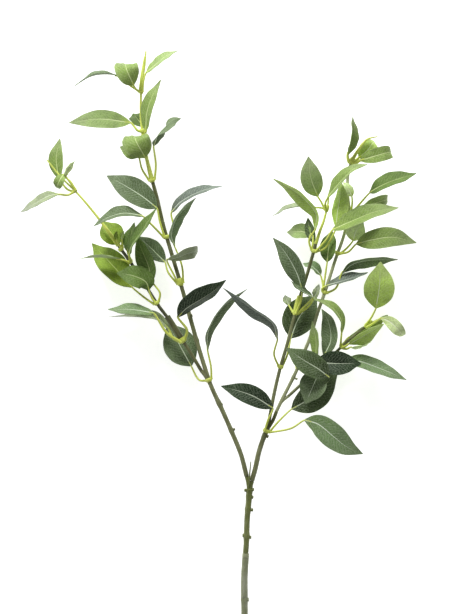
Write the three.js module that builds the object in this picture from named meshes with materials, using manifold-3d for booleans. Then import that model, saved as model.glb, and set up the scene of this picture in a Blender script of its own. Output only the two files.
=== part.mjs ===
// A spray of artificial privet, lying on a flat surface and seen from above.
// Points are millimetres on a full-size layout sheet: x right, y down the sheet, z up from the surface.

import * as THREE from "three";
import { mergeVertices } from "three/addons/utils/BufferGeometryUtils.js";
import Module from "manifold-3d";

const wasm = await Module();
wasm.setup();

// Sizes
const CUT_END_Y = 684;
const MAIN_STEM_X = 245;
const GAP = 0.3;
const BLADE_THICKNESS = 0.7;
const BLADE_FOLD = 20;
const BLADE_WAVE = 0.5;
const WAVE_ALONG = 2.1;
const WAVE_ACROSS = 1.3;
const STALK_RADIUS = 0.75;
const STALK_THICKNESS = 1.2;
const STALK_STATIONS = [0, 0.35, 0.7];
const TIP_HALF_WIDTH = 0.45;
const STEM_SIDES = 8;
const STEM_STEP = 20;
const FORK_STEP = 9;
const STUB_SIDES = 6;
const STUB_STEP = 10;
const STUB_SHARE = 0.55;
const COLLAR_WALL = 1.5;
const COLLAR_HALF_HEIGHT = 2.4;
const COLLAR_FOOT_SHARE = 0.8;
const COLLAR_TOP_SHARE = 0.88;
const COLLAR_SIDES = 6;
const WIRE_RADIUS = 0.9;
const WIRE_TOP_Y = 505;
const WIRE_PROUD = 0.8;
const BORE_RUN_OUT = 3;
const SURFACE_SIDE = 1600;
const SURFACE_DEPTH = 50;
const SMALLEST_DETAIL = 0.05;
const MERGE_DISTANCE = 1e-4;
const SEARCH_STEP = 0.002;

// Blade outline: the distance along the midrib and the half width there, both as a share of the whole.
const OUTLINE = [
  [0, 0.09],
  [0.12, 0.58],
  [0.29, 0.92],
  [0.48, 1],
  [0.68, 0.8],
  [0.87, 0.36],
  [1, 0.03],
];

// Materials
const plastic = (color, roughness) => new THREE.MeshStandardMaterial({ color, roughness });
const FINISHES = {
  steel: new THREE.MeshStandardMaterial({ color: 0x9a9c98, roughness: 0.4, metalness: 0.9 }),
  sleeve: plastic(0x8f9876, 0.55),
  ring: plastic(0xc4c9a4, 0.55),
  mainStem: plastic(0x6e7a44, 0.5),
  branch: plastic(0x565634, 0.5),
  leader: plastic(0xc3d24e, 0.45),
  leaf: plastic(0x3d5536, 0.7),
};

// Stems: the centre line from the lower end up, the radius at each end, and the cut stubs along it.
const STEMS = {
  lower_sleeve: {
    finish: "sleeve",
    line: [[244.8, 684, 2.7], [244.5, 650, 4.4], [244.5, 614, 7.6], [244.4, 599.2, 9.2]],
    radii: [3.3, 3.3],
    stubs: [[248.8, 601, 9.5]],
  },
  upper_sleeve: {
    finish: "sleeve",
    line: [[244.4, 598.7, 9.3], [244.4, 580, 11.6], [245.4, 562, 13.8], [245.6, 558.6, 14.2]],
    radii: [3.6, 3.3],
    stubs: [],
  },
  sleeve_ring: {
    finish: "ring",
    line: [[245.6, 558.2, 14.3], [245.7, 554.6, 14.7]],
    radii: [3.5, 3.3],
    stubs: [],
  },
  main_stem: {
    finish: "mainStem",
    line: [[245.7, 554.2, 14.8], [246.4, 545, 15.8], [247.2, 520, 18.4], [248.8, 502, 20],
      [249.6, 490, 21]],
    radii: [2.8, 3],
    stubs: [[244.4, 490.5, 22], [254, 490, 22], [253.4, 497.7, 21], [253.2, 510.5, 20], [242.4, 536, 17],
      [251.4, 538, 17]],
    forks: [
      { line: [[249.4, 493, 20.8], [248.4, 484, 21.6], [246.6, 476.5, 22.2]], radii: [2.4, 2] },
      { line: [[249.6, 493, 20.8], [250.4, 487, 21.4], [251.6, 481.9, 21.8]], radii: [2.6, 2.4] },
      { line: [[249.4, 489, 22.4], [249.4, 478, 26.6], [250.8, 462, 29]], radii: [1, 0.5] },
    ],
  },
  left_branch: {
    finish: "branch",
    line: [[246.4, 475.9, 22.3], [241, 455, 24], [233, 435, 25.6], [222, 410, 27.4], [211, 386, 28.8],
      [203, 362, 30.4], [195, 335, 31.8], [188, 310, 33.2], [181, 285, 34.4], [172, 255, 35.6],
      [163, 224, 36.6], [157, 198, 37.4], [152.2, 180.5, 38]],
    radii: [2.4, 1.9],
    stubs: [[217.6, 402.4, 28.4], [222.6, 404, 28.2], [235, 429, 26.6], [192.4, 315.4, 33.4],
      [199.2, 340.4, 31.8]],
    forks: [
      { line: [[211, 386, 28.8], [206, 377, 29.4], [201.4, 370.9, 30.1]], radii: [1.9, 1.8] },
    ],
  },
  left_leader: {
    finish: "leader",
    line: [[151.9, 179.8, 38], [147, 160, 38.4], [143, 135, 38.8], [141, 112, 39.2], [141.5, 90, 39.6],
      [145, 65, 40], [146, 52, 40]],
    radii: [2, 0.8],
    stubs: [],
    forks: [
      { line: [[151.6, 178.6, 38], [149, 168, 38.2], [147, 160, 38.4]], radii: [2.4, 1.8] },
      { line: [[141.2, 91, 39.6], [142.4, 76, 39.9], [145, 57, 40]], radii: [2.7, 1] },
    ],
  },
  side_branch: {
    finish: "branch",
    line: [[201, 370.4, 30.1], [190, 352, 31], [181, 338, 31.4], [170, 321, 31.8], [158, 305, 32],
      [144, 283, 31.8], [133, 266, 31.2], [119, 246.4, 30.4]],
    radii: [1.8, 1.6],
    stubs: [],
    forks: [
      { line: [[180.6, 337.4, 31.4], [174, 327, 31.7], [167.4, 316.6, 31.9]], radii: [3.2, 2.9] },
    ],
  },
  side_leader: {
    finish: "leader",
    line: [[118.6, 245.8, 30.4], [108, 231, 29.8], [95, 214, 29.4], [78, 194, 29], [60, 176, 28.6],
      [47, 160, 28.4]],
    radii: [1.6, 0.7],
    stubs: [],
    forks: [
      { line: [[118, 245, 30.4], [111, 235.2, 29.9], [104, 225.8, 29.6]], radii: [2.3, 1.6] },
    ],
  },
  right_trunk: {
    finish: "branch",
    line: [[251.9, 480.6, 22.1], [255, 470, 22.6], [259, 452, 23.6], [264, 437, 24.6], [268.6, 426, 25.4]],
    radii: [2.6, 2.4],
    stubs: [[268.6, 437, 25.2]],
    forks: [
      { line: [[267.6, 428.4, 25.2], [269.4, 419, 26], [270.8, 411.6, 26.6]], radii: [1.9, 1.8] },
      { line: [[268, 428.4, 25.2], [273, 420.4, 25.2], [276.4, 411.8, 25]], radii: [1.9, 1.8] },
    ],
  },
  right_branch_1: {
    finish: "branch",
    line: [[270.9, 411.1, 26.6], [275, 390, 28], [280, 369, 29], [287, 345, 30], [293, 322, 31],
      [299, 300, 32], [307, 275, 33], [315.6, 244.4, 34.1]],
    radii: [1.8, 1.7],
    stubs: [],
  },
  right_leader_1: {
    finish: "leader",
    line: [[315.9, 243.6, 34.2], [320, 231, 34.7], [324, 220, 35], [326.8, 208.8, 35.4], [328, 203, 35.8],
      [329, 193, 36.2]],
    radii: [1.7, 0.7],
    stubs: [],
  },
  right_branch_2: {
    finish: "branch",
    line: [[276.6, 411.2, 25], [283, 398, 24.6], [295, 374, 24.4], [303, 355, 24.8], [310, 338, 25.4],
      [318, 312, 26.4], [325, 292, 27.6], [336, 258, 29.4], [344, 235, 30.6], [349, 213, 31.6],
      [347.4, 192, 32.6], [347.8, 176, 33.4], [350, 166, 33.8], [352.2, 160, 34.1]],
    radii: [1.8, 1.6],
    stubs: [[297.6, 379.4, 25]],
    forks: [
      { line: [[280.6, 403, 24.6], [284, 399.6, 24.4], [288, 396.6, 24.2]], radii: [1.6, 1.5] },
    ],
  },
  right_leader_2: {
    finish: "leader",
    line: [[352.5, 159.4, 34.2], [356.4, 152.8, 35.4], [361.6, 145.4, 37], [367, 139.4, 37.6],
      [377, 136.8, 37.6]],
    radii: [2, 0.5],
    stubs: [],
  },
  right_branch_3: {
    finish: "branch",
    line: [[288.6, 396.2, 24.2], [303, 383, 24], [320, 368, 24], [341, 347.6, 24.4], [360, 331, 25.4],
      [367.6, 325.4, 26]],
    radii: [1.5, 1.4],
    stubs: [],
  },
  right_leader_3: {
    finish: "leader",
    line: [[368.2, 325, 26.1], [378, 320, 27.4], [386, 318, 28]],
    radii: [1.2, 0.5],
    stubs: [],
  },
};

// Whorls: the collar's place on its stem, how far its sheath runs up, and the leaves.
// A leaf has the points of its stalk and midrib, and its width. Its roll is in degrees, and lifts the edge on
// the left of the way from base to tip. Two rolls turn it from base to tip. Its fold is in degrees too.
const WHORLS = {
  leader_top_whorl: {
    on: "left_leader",
    at: [140.6, 92],
    leaves: [
      { stalk: [[136.4, 90, 46]],
        rib: [[134, 86, 52], [130.5, 78.5, 57], [127.4, 71.5, 58], [126.2, 67, 54], [126, 64.8, 45],
          [126, 64.4, 36]],
        width: 24, roll: [16, 0], fold: 8 },
      { stalk: [[129, 85, 43]], rib: [[120, 76.5, 45], [106, 75, 47], [92, 77, 46.5], [74, 87, 42]],
        width: 15, roll: 78 },
      { stalk: [[144, 80, 42]], rib: [[146, 73, 43], [155, 66, 46], [166, 57, 46], [178, 51, 44]],
        width: 17, roll: -60, fold: 12 },
    ],
  },
  leader_middle_whorl: {
    on: "left_leader",
    at: [142.6, 131],
    leaves: [
      { stalk: [[138, 131, 41]], rib: [[131, 123, 42], [100, 119.4, 45], [69, 123, 38]],
        width: 18.5, roll: 8, fold: 5 },
      { stalk: [[145, 134, 40]], rib: [[146, 131, 42], [147, 114, 45], [152, 98, 47], [161, 80, 44]],
        width: 17, roll: -44, fold: 12 },
      { stalk: [[142, 130, 35]], rib: [[143, 127, 32], [139, 121, 24], [132.6, 112.6, 8]],
        width: 17, roll: 20 },
    ],
  },
  left_whorl_5: {
    on: "left_branch",
    at: [152, 180],
    leaves: [
      { stalk: [[149, 167, 43]],
        rib: [[145.5, 158, 50], [141, 150, 57], [137, 143, 58], [135.6, 138.8, 53], [135.4, 137, 45],
          [135.4, 136.6, 36]],
        width: 28, roll: 0, fold: 6 },
      { stalk: [[142, 169, 38]], rib: [[139, 157, 37], [131, 151.6, 40], [120, 147, 38]],
        width: 15, roll: 0, fold: 5 },
      { stalk: [[156, 165, 41]],
        rib: [[154, 146, 44], [158, 136, 48], [166, 127, 50], [173, 121, 48], [181, 119, 45]],
        width: 18, roll: [35, 165] },
    ],
  },
  left_whorl_4: {
    on: "left_branch",
    at: [166, 237],
    leaves: [
      { stalk: [[160, 222, 39]], rib: [[157, 208, 41], [143, 197, 44], [122, 184, 43], [107, 176, 38]],
        width: 26, roll: 14, fold: 10 },
      { stalk: [[150, 223, 42]], rib: [[143, 216, 45], [124, 213.6, 49], [108, 218, 47], [94, 226, 41]],
        width: 18, roll: 54 },
      { stalk: [[174, 230, 39]],
        rib: [[171, 213, 41], [180, 203, 44], [193, 195, 46], [207, 189.5, 44], [223, 186, 40]],
        width: 16, roll: [-50, -60] },
    ],
  },
  left_whorl_3: {
    on: "left_branch",
    at: [181, 284],
    sheath: 4,
    leaves: [
      { stalk: [[168, 272, 34]], rib: [[165, 262, 31], [152, 249, 18], [138, 236, 3]], width: 18, roll: 8 },
      { stalk: [[182, 266, 37]], rib: [[175, 246, 40], [171.5, 236, 42], [177, 218, 45], [196, 198, 44]],
        width: 18, roll: 60 },
      { stalk: [[174, 275, 39]],
        rib: [[167, 260, 42], [178, 257.5, 46], [188, 253.5, 48], [194.5, 252, 45], [197, 251.6, 37],
          [197.6, 251.5, 30]],
        width: 16, roll: [75, 10], fold: 5 },
    ],
  },
  left_whorl_1: {
    on: "left_branch",
    at: [207, 381],
    leaves: [
      { stalk: [[199, 380, 23]], rib: [[191, 366, 19], [181, 348, 13], [167, 323, 4]],
        width: 33, roll: 0, fold: 12 },
      { stalk: [[211, 367, 33]], rib: [[208, 350, 36], [208, 332, 40], [222, 308, 42], [247, 289, 38]],
        width: 18, roll: 64 },
    ],
  },
  side_whorl_1: {
    on: "side_branch",
    at: [183, 341],
    sheath: 5,
    leaves: [
      { stalk: [[187, 330, 38]],
        rib: [[178, 317, 43], [186, 309, 46], [200, 300, 48], [213, 291.5, 47], [226, 280, 43]],
        width: 26, roll: 50, fold: -20 },
      { stalk: [[167, 333, 36]], rib: [[154, 313, 40], [131, 309.5, 42], [108, 309.4, 38]],
        width: 20, roll: 56, fold: 6 },
      { stalk: [[173, 338, 28]], rib: [[169, 329, 26], [158, 319, 24], [135, 316.4, 20], [108, 317, 11]],
        width: 18, roll: [50, 86] },
    ],
  },
  side_whorl_2: {
    on: "side_branch",
    at: [157, 303],
    leaves: [
      { stalk: [[152, 298, 35]], rib: [[149, 290, 38], [146, 282, 41], [134, 276, 43], [117, 273, 40]],
        width: 23, roll: 18, fold: 12 },
      { stalk: [[145, 298, 31]], rib: [[132, 287, 28], [112, 265, 20], [95, 247, 2], [91, 243, 0]],
        width: 28, roll: 18, fold: 12 },
      { stalk: [[160, 293, 35]], rib: [[152, 282, 36], [149, 267, 36], [142, 250, 34], [137, 236, 30]],
        width: 20, roll: -30 },
    ],
  },
  side_whorl_3: {
    on: "side_branch",
    at: [130, 262],
    leaves: [
      { stalk: [[130, 260, 36]], rib: [[129, 255, 40], [132, 246, 45], [142, 232, 52], [157, 208, 55]],
        width: 19, roll: -60 },
      { stalk: [[126, 261, 35]], rib: [[121, 259, 38], [100, 257.4, 41], [77, 259, 39]],
        width: 14, roll: 90 },
      { stalk: [[129, 256, 28]], rib: [[127, 251, 26], [130, 238, 20], [134, 222, 13]],
        width: 14, roll: -40 },
    ],
  },
  side_whorl_4: {
    on: "side_branch",
    at: [121, 249],
    leaves: [
      { stalk: [[122, 248, 27]], rib: [[119, 244, 25], [111, 233, 20], [103, 221, 13]],
        width: 24, roll: 14, fold: 12 },
      { stalk: [[122, 243, 33]], rib: [[122, 240, 34], [122, 236, 36], [124, 231, 37]], width: 4, roll: 0 },
      { stalk: [[118, 243, 33]], rib: [[117, 240, 34], [116, 236, 35], [117, 231, 35]], width: 4, roll: 0 },
    ],
  },
  side_whorl_5: {
    on: "side_leader",
    at: [74.6, 191],
    leaves: [
      { stalk: [[68, 195, 31]], rib: [[59, 194, 33], [49, 196, 35], [36, 203, 32], [20, 212, 24]],
        width: 17, roll: 56, fold: 10 },
      { stalk: [[67, 189, 25]], rib: [[58.5, 178, 23], [56, 158, 23], [59.5, 138, 20]],
        width: 16, roll: -24, fold: 10 },
      { stalk: [[70, 181, 33]], rib: [[65, 177, 34], [67, 170, 36], [75, 161, 35]], width: 8, roll: 50 },
      { stalk: [[69, 181, 34]], rib: [[64, 174, 35], [60, 180, 38], [57.4, 186, 36], [57, 188, 30]],
        width: 11, roll: 20, fold: 5 },
    ],
  },
  right_trunk_whorl: {
    on: "right_trunk",
    at: [266, 431],
    leaves: [
      { stalk: [[280, 431, 28], [292, 428, 30]],
        rib: [[305, 420, 31], [318, 424, 34], [333, 436, 35], [347, 447, 33], [363, 454, 28]],
        width: 25, roll: 0, fold: 8 },
      { stalk: [[268, 420, 31]], rib: [[273, 408, 34], [252, 395.4, 38], [221, 386, 34]],
        width: 20, roll: 4, fold: 12 },
      { stalk: [[281, 419, 28]], rib: [[292, 409, 27], [312, 397, 26], [338, 372, 23]],
        width: 29, roll: 8 },
    ],
  },
  first_whorl_a: {
    on: "right_branch_1",
    at: [280.6, 367],
    leaves: [
      { stalk: [[274, 354, 37]], rib: [[277, 339, 42], [273, 324, 47], [251, 308, 53], [223, 288, 53]],
        width: 20, roll: -62 },
      { stalk: [[287, 356, 25]], rib: [[291, 338, 20], [299, 318, 19], [317, 295, 15]],
        width: 33, roll: 0 },
    ],
  },
  first_whorl_b: {
    on: "right_branch_1",
    at: [295.4, 313],
    sheath: 16,
    leaves: [
      { stalk: [[301, 300, 39]], rib: [[302, 289, 43], [297, 274, 47], [286, 254, 49], [273, 238, 46]],
        width: 20, roll: -22, fold: 12 },
      { stalk: [[305, 306, 37]], rib: [[313, 297, 41], [304, 292.6, 45], [297, 287.6, 46], [291, 281, 44]],
        width: 13, roll: 62 },
      { stalk: [[308, 307, 33]], rib: [[314, 298, 35], [317, 291, 38], [319, 284, 39]],
        width: 8, roll: -30 },
      { stalk: [[291, 309, 28]], rib: [[289, 305, 26], [287, 301, 24], [285, 295, 21]],
        width: 9, roll: 20 },
    ],
  },
  first_whorl_c: {
    on: "right_branch_1",
    at: [313.6, 251],
    leaves: [
      { stalk: [[309, 240, 37]], rib: [[315, 229, 40], [316, 215, 44], [299, 195, 47], [273, 179, 44]],
        width: 20, roll: -58 },
      { stalk: [[313, 240, 28]], rib: [[313, 234, 26], [302, 231.5, 22], [287, 232, 13]],
        width: 17, roll: 24, fold: 12 },
      { stalk: [[325, 248, 38]],
        rib: [[336, 227, 41], [337, 213, 44.6], [339.6, 199, 45.6], [341, 182, 43]],
        width: 20, roll: -40, fold: -20 },
      { stalk: [[326, 240, 42]], rib: [[332, 230, 46], [350, 222, 51], [375, 212, 51], [398, 208, 48]],
        width: 22, roll: -40 },
      { stalk: [[316, 248, 29]], rib: [[314, 243, 28], [310, 231, 24], [308, 217, 18]],
        width: 10, roll: 0 },
    ],
  },
  first_whorl_d: {
    on: "right_leader_1",
    at: [326.4, 210],
    sheath: 3,
    leaves: [
      { stalk: [[321, 202, 39]], rib: [[317.5, 196.5, 42], [310.5, 178, 50], [308, 157, 53]],
        width: 22, roll: 6, fold: 8 },
      { stalk: [[322, 208, 31]], rib: [[316, 207, 29], [300, 206.5, 26], [285, 209.5, 21], [272, 216, 12]],
        width: 14, roll: 70 },
      { stalk: [[325, 204, 42]], rib: [[327, 198, 47], [341, 181, 56], [354, 169, 60], [367, 165, 58]],
        width: 18, roll: -58 },
    ],
  },
  second_whorl_a: {
    on: "right_branch_2",
    at: [298, 367],
    sheath: 5,
    leaves: [
      { stalk: [[306, 369, 31], [315, 369, 32]],
        rib: [[319.6, 371.4, 32], [315.6, 380, 34.4], [311, 390.6, 36.6], [305.4, 403.6, 36]],
        width: 27, roll: 8 },
      { stalk: [[311, 363, 27]], rib: [[324, 356, 27], [331, 340, 26], [329, 323, 22], [322, 309, 16]],
        width: 19, roll: -30 },
      { stalk: [[309, 362, 30]], rib: [[316, 357, 32], [316, 340, 34], [312, 321, 34]],
        width: 14, roll: -50 },
    ],
  },
  second_whorl_b: {
    on: "right_branch_2",
    at: [325, 292],
    leaves: [
      { stalk: [[325, 277, 31]], rib: [[327, 262, 33], [329, 246, 33], [332, 230, 30]],
        width: 17, roll: -20 },
      { stalk: [[322, 289, 30]], rib: [[326, 285.5, 33], [344, 280.5, 37], [368, 272.5, 37]],
        width: 17, roll: -60 },
      { stalk: [[336, 288, 32]],
        rib: [[342, 273, 35], [352, 264.5, 37], [368, 260.5, 37], [398, 259.5, 35]], width: 17, roll: 54 },
      { stalk: [[323, 284, 24]], rib: [[321, 275, 22], [313, 267, 19], [303, 263, 13]],
        width: 14, roll: 50 },
    ],
  },
  second_whorl_c: {
    on: "right_branch_2",
    at: [337.6, 253],
    leaves: [
      { stalk: [[348, 252, 37]], rib: [[356, 244, 42], [372, 240, 50], [392, 237.5, 53], [416, 243, 47]],
        width: 21, roll: -8, fold: 6 },
      { stalk: [[347, 248, 32]], rib: [[353, 241, 34], [356, 231, 37], [363, 221, 39]],
        width: 20, roll: 10, fold: 8 },
    ],
  },
  second_whorl_d: {
    on: "right_branch_2",
    at: [349.4, 213],
    leaves: [
      { stalk: [[357, 207, 36]],
        rib: [[369, 193, 42], [379, 187, 46], [390, 182, 47], [402, 178, 47], [416, 173.5, 44]],
        width: 20, roll: -45 },
      { stalk: [[355, 211, 31]],
        rib: [[361, 208, 30], [374, 203.5, 29], [384, 200.5, 25], [387.4, 199.6, 18], [388, 199.4, 12]],
        width: 16, roll: [50, 20], fold: 8 },
      { stalk: [[352, 205, 35]], rib: [[352, 197, 38], [348, 189, 39], [343, 182, 38]],
        width: 9, roll: 20 },
    ],
  },
  second_whorl_e: {
    on: "right_branch_2",
    at: [351.2, 162.6],
    sheath: 3,
    leaves: [
      { stalk: [[348.4, 161, 37]],
        rib: [[347.8, 156, 39], [349.4, 145, 42], [351.6, 132, 45], [352.6, 117, 44]],
        width: 16.5, roll: 60, fold: 30 },
      { stalk: [[356.4, 162.6, 34]],
        rib: [[359.6, 160.6, 35], [372, 157, 39], [384, 153.6, 41], [389.5, 152.4, 37], [391, 152.2, 28],
          [391.6, 152.1, 19]],
        width: 15, roll: -8, fold: 8 },
      { stalk: [[355.6, 160.6, 30]],
        rib: [[359, 157.6, 30], [368, 149.5, 32], [372.4, 143, 31], [373.8, 140.6, 25]],
        width: 19, roll: 10, fold: 8 },
    ],
  },
  third_whorl_a: {
    on: "right_branch_3",
    at: [322, 366],
    leaves: [
      { stalk: [[316, 366, 29]], rib: [[315.6, 362, 33], [337, 363.4, 36], [361, 363.4, 31]],
        width: 24, roll: -5 },
      { stalk: [[334, 366, 23]],
        rib: [[343, 360, 24], [360, 361.6, 26], [376, 367, 25.6], [391, 373, 24], [407, 380, 19]],
        width: 20, roll: -44, fold: 8 },
      { stalk: [[327, 375, 37]],
        rib: [[329, 377, 42], [318, 368.6, 46], [303, 359.6, 47.6], [286, 348, 46]],
        width: 24, roll: 6, fold: 10 },
    ],
  },
  third_whorl_b: {
    on: "right_branch_3",
    at: [342, 346.7],
    leaves: [
      { stalk: [[341, 340, 30]], rib: [[342, 333, 33], [341, 320, 37], [330, 306, 39], [311, 298, 38]],
        width: 13, roll: 56 },
      { stalk: [[346, 346, 29]], rib: [[349, 344, 31], [365, 335, 33], [384, 324, 29]],
        width: 18, roll: 48 },
      { stalk: [[345, 342, 21]], rib: [[349, 338, 19], [368, 328, 12], [386, 317, 2], [389, 315, 0]],
        width: 17, roll: 50 },
      { stalk: [[347, 349, 24]], rib: [[350, 348, 24], [361, 345, 24], [372, 342, 21]],
        width: 12, roll: 78 },
    ],
  },
  third_whorl_c: {
    on: "right_branch_3",
    at: [366.4, 326.2],
    sheath: 6,
    leaves: [
      { stalk: [[371, 318, 31]], rib: [[376, 308, 35], [379, 286, 45], [380, 262, 50]],
        width: 31, roll: 0, fold: 6 },
      { stalk: [[374, 323, 30]],
        rib: [[381, 318, 36], [390, 322, 40], [398, 329.6, 40], [402, 334.6, 35], [403, 336, 27]],
        width: 13, roll: 10, fold: 4 },
    ],
  },
};

// A layout point as a place in the part's own frame, with y up the spray.
function place([x, y, z]) {
  return new THREE.Vector3(x - MAIN_STEM_X, CUT_END_Y - y, z);
}

// A closed geometry as a solid.
function solid(geometry) {
  const bare = new THREE.BufferGeometry();
  bare.setAttribute("position", geometry.getAttribute("position"));
  bare.setIndex(geometry.getIndex());
  const closed = mergeVertices(bare, MERGE_DISTANCE);
  const vertProperties = closed.getAttribute("position").array;
  const triVerts = new Uint32Array(closed.getIndex().array);
  return new wasm.Manifold(new wasm.Mesh({ numProp: 3, vertProperties, triVerts }));
}

// A solid as a named mesh.
function meshOf(name, body, finish) {
  const { vertProperties, triVerts } = body.getMesh();
  const geometry = new THREE.BufferGeometry();
  geometry.setAttribute("position", new THREE.BufferAttribute(vertProperties, 3));
  geometry.setIndex(new THREE.BufferAttribute(triVerts, 1));
  geometry.computeVertexNormals();
  const mesh = new THREE.Mesh(geometry, FINISHES[finish]);
  mesh.name = name;
  return mesh;
}

// A round rod along a smooth line, with a radius that changes evenly from one end to the other.
function rod(points, [startRadius, endRadius], sides, step) {
  const path = new THREE.CatmullRomCurve3(points);
  const steps = Math.max(1, Math.round(path.getLength() / step));
  const corners = Array.from({ length: sides }, (_, i) => {
    const angle = (2 * Math.PI * (i + 0.5)) / sides;
    return new THREE.Vector2(Math.cos(angle), Math.sin(angle)).multiplyScalar(startRadius);
  });
  const settings = { steps, extrudePath: path, bevelEnabled: false, curveSegments: 1 };
  const geometry = new THREE.ExtrudeGeometry(new THREE.Shape(corners), settings);
  const centres = path.getSpacedPoints(steps);
  const vertices = geometry.getAttribute("position");
  const vertex = new THREE.Vector3();
  for (let i = 0; i < vertices.count; i++) {
    vertex.fromBufferAttribute(vertices, i);
    const distances = centres.map((centre) => centre.distanceTo(vertex));
    const nearest = distances.indexOf(Math.min(...distances));
    const scale = THREE.MathUtils.lerp(1, endRadius / startRadius, nearest / steps);
    vertex.sub(centres[nearest]).multiplyScalar(scale).add(centres[nearest]);
    vertices.setXYZ(i, vertex.x, vertex.y, vertex.z);
  }
  return solid(geometry);
}

// The point of a stem's line that is nearest to a layout point, with the line's direction there.
function nearestOnStem(stem, [x, y]) {
  const path = new THREE.CatmullRomCurve3(stem.line.map(place));
  const wanted = place([x, y, 0]);
  let best = { distance: Infinity };
  for (let t = 0; t <= 1; t += SEARCH_STEP) {
    const point = path.getPointAt(t);
    const distance = Math.hypot(point.x - wanted.x, point.y - wanted.y);
    if (distance < best.distance) best = { distance, point, direction: path.getTangentAt(t), share: t };
  }
  return best;
}

// The surface that the spray lies on, as a block under it.
function surfaceBlock() {
  const geometry = new THREE.BoxGeometry(SURFACE_SIDE, SURFACE_SIDE, SURFACE_DEPTH);
  geometry.translate(0, 0, -SURFACE_DEPTH / 2);
  return solid(geometry);
}

// A stem with its stubs and forks, or the room that it needs when spare is over 0.
function stemBody(stem, spare) {
  const radii = stem.radii.map((radius) => radius + spare);
  let body = rod(stem.line.map(place), radii, STEM_SIDES, STEM_STEP);
  for (const stub of stem.stubs) {
    const root = nearestOnStem(stem, stub).point;
    const radius = STUB_SHARE * stem.radii[0] + spare;
    body = body.add(rod([root, place(stub)], [radius, radius], STUB_SIDES, STUB_STEP));
  }
  for (const fork of stem.forks ?? []) {
    const forkRadii = fork.radii.map((radius) => radius + spare);
    body = body.add(rod(fork.line.map(place), forkRadii, STEM_SIDES, FORK_STEP));
  }
  return body;
}

// A point kept at or above a height, as where a leaf is pressed flat by the surface that it lies on.
function raised(point, height) {
  point.z = Math.max(point.z, height);
  return point;
}

// The cross-sections of a leaf from the collar's wall to its tip, with the share of the blade behind each.
function leafSections(leaf, root) {
  const stalk = new THREE.CatmullRomCurve3([root, ...leaf.stalk.map(place), place(leaf.rib[0])]);
  const rib = new THREE.CatmullRomCurve3(leaf.rib.map(place));
  const onStalk = STALK_STATIONS.map((share) => ({
    centre: stalk.getPointAt(share),
    forward: stalk.getTangentAt(share),
    half: STALK_RADIUS,
    thickness: STALK_THICKNESS,
    spread: 0,
    share: 0,
  }));
  const onBlade = OUTLINE.map(([share, spread]) => ({
    centre: rib.getPointAt(share),
    forward: rib.getTangentAt(share),
    half: Math.max(TIP_HALF_WIDTH, (spread * leaf.width) / 2),
    thickness: share ? BLADE_THICKNESS : STALK_THICKNESS,
    spread,
    share,
  }));
  return [...onStalk, ...onBlade];
}

// One leaf: a thin closed sheet that starts as the stalk and widens into a blade, folded up along its midrib.
function leafBody(leaf, root, wavePhase) {
  const fold = THREE.MathUtils.degToRad(leaf.fold ?? BLADE_FOLD);
  const [baseRoll, tipRoll] = Array.isArray(leaf.roll) ? leaf.roll : [leaf.roll, leaf.roll];
  const up = new THREE.Vector3(0, 0, 1);
  const upper = [];
  const lower = [];
  const sections = leafSections(leaf, root);
  sections.forEach(({ centre, forward, half, thickness, spread, share }, row) => {
    const level = new THREE.Vector3().crossVectors(up, forward).normalize();
    const rise = new THREE.Vector3().crossVectors(forward, level);
    const roll = THREE.MathUtils.degToRad(THREE.MathUtils.lerp(baseRoll, tipRoll, share));
    const side = level.clone().multiplyScalar(Math.cos(roll)).addScaledVector(rise, Math.sin(roll));
    const normal = new THREE.Vector3().crossVectors(forward, side);
    for (const across of [1, 0, -1]) {
      const wave = BLADE_WAVE * Math.sin(wavePhase + WAVE_ALONG * row + WAVE_ACROSS * across);
      const lift = Math.abs(across) * spread * (half * Math.tan(fold) + wave);
      const point = centre.clone().addScaledVector(side, across * half).addScaledVector(normal, lift);
      upper.push(raised(point.clone().addScaledVector(normal, thickness / 2), thickness));
      lower.push(raised(point.clone().addScaledVector(normal, -thickness / 2), 0));
    }
  });
  return sheet(upper, lower, sections.length, 3);
}

// A closed sheet between two grids of points, with the same triangles on both faces.
function sheet(upper, lower, rows, columns) {
  const points = [...upper, ...lower];
  const under = upper.length;
  const triangles = [];
  for (let row = 0; row + 1 < rows; row++) {
    for (let column = 0; column + 1 < columns; column++) {
      const a = row * columns + column;
      const [b, c, d] = [a + 1, a + columns, a + columns + 1];
      triangles.push([a, b, c], [b, d, c]);
      triangles.push([under + a, under + c, under + b], [under + b, under + c, under + d]);
    }
  }
  const rim = [];
  for (let column = 0; column < columns; column++) rim.push(column);
  for (let row = 1; row < rows; row++) rim.push(row * columns + columns - 1);
  for (let column = columns - 2; column >= 0; column--) rim.push((rows - 1) * columns + column);
  for (let row = rows - 2; row > 0; row--) rim.push(row * columns);
  rim.forEach((a, i) => {
    const b = rim[(i + 1) % rim.length];
    triangles.push([a, under + a, b], [b, under + a, under + b]);
  });
  const positions = new Float32Array(points.flatMap((point) => point.toArray()));
  const geometry = new THREE.BufferGeometry();
  geometry.setAttribute("position", new THREE.BufferAttribute(positions, 3));
  geometry.setIndex(triangles.flat());
  return solid(geometry);
}

// The moulded collar round a stem, with its sheath above it, before it is bored.
function collar(centre, direction, radius, sheath) {
  const top = COLLAR_HALF_HEIGHT + sheath;
  const profile = [
    [0, -COLLAR_HALF_HEIGHT],
    [COLLAR_FOOT_SHARE * radius, -COLLAR_HALF_HEIGHT],
    [radius, 0],
    [COLLAR_TOP_SHARE * radius, top],
    [0, top],
  ].map(([x, y]) => new THREE.Vector2(x, y));
  const geometry = new THREE.LatheGeometry(profile, COLLAR_SIDES);
  geometry.applyQuaternion(new THREE.Quaternion().setFromUnitVectors(new THREE.Vector3(0, 1, 0), direction));
  geometry.translate(centre.x, centre.y, centre.z);
  return solid(geometry);
}

// The largest of a solid's separate bodies.
function largest(body) {
  return body.decompose().reduce((a, b) => (b.volume() > a.volume() ? b : a));
}

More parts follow.
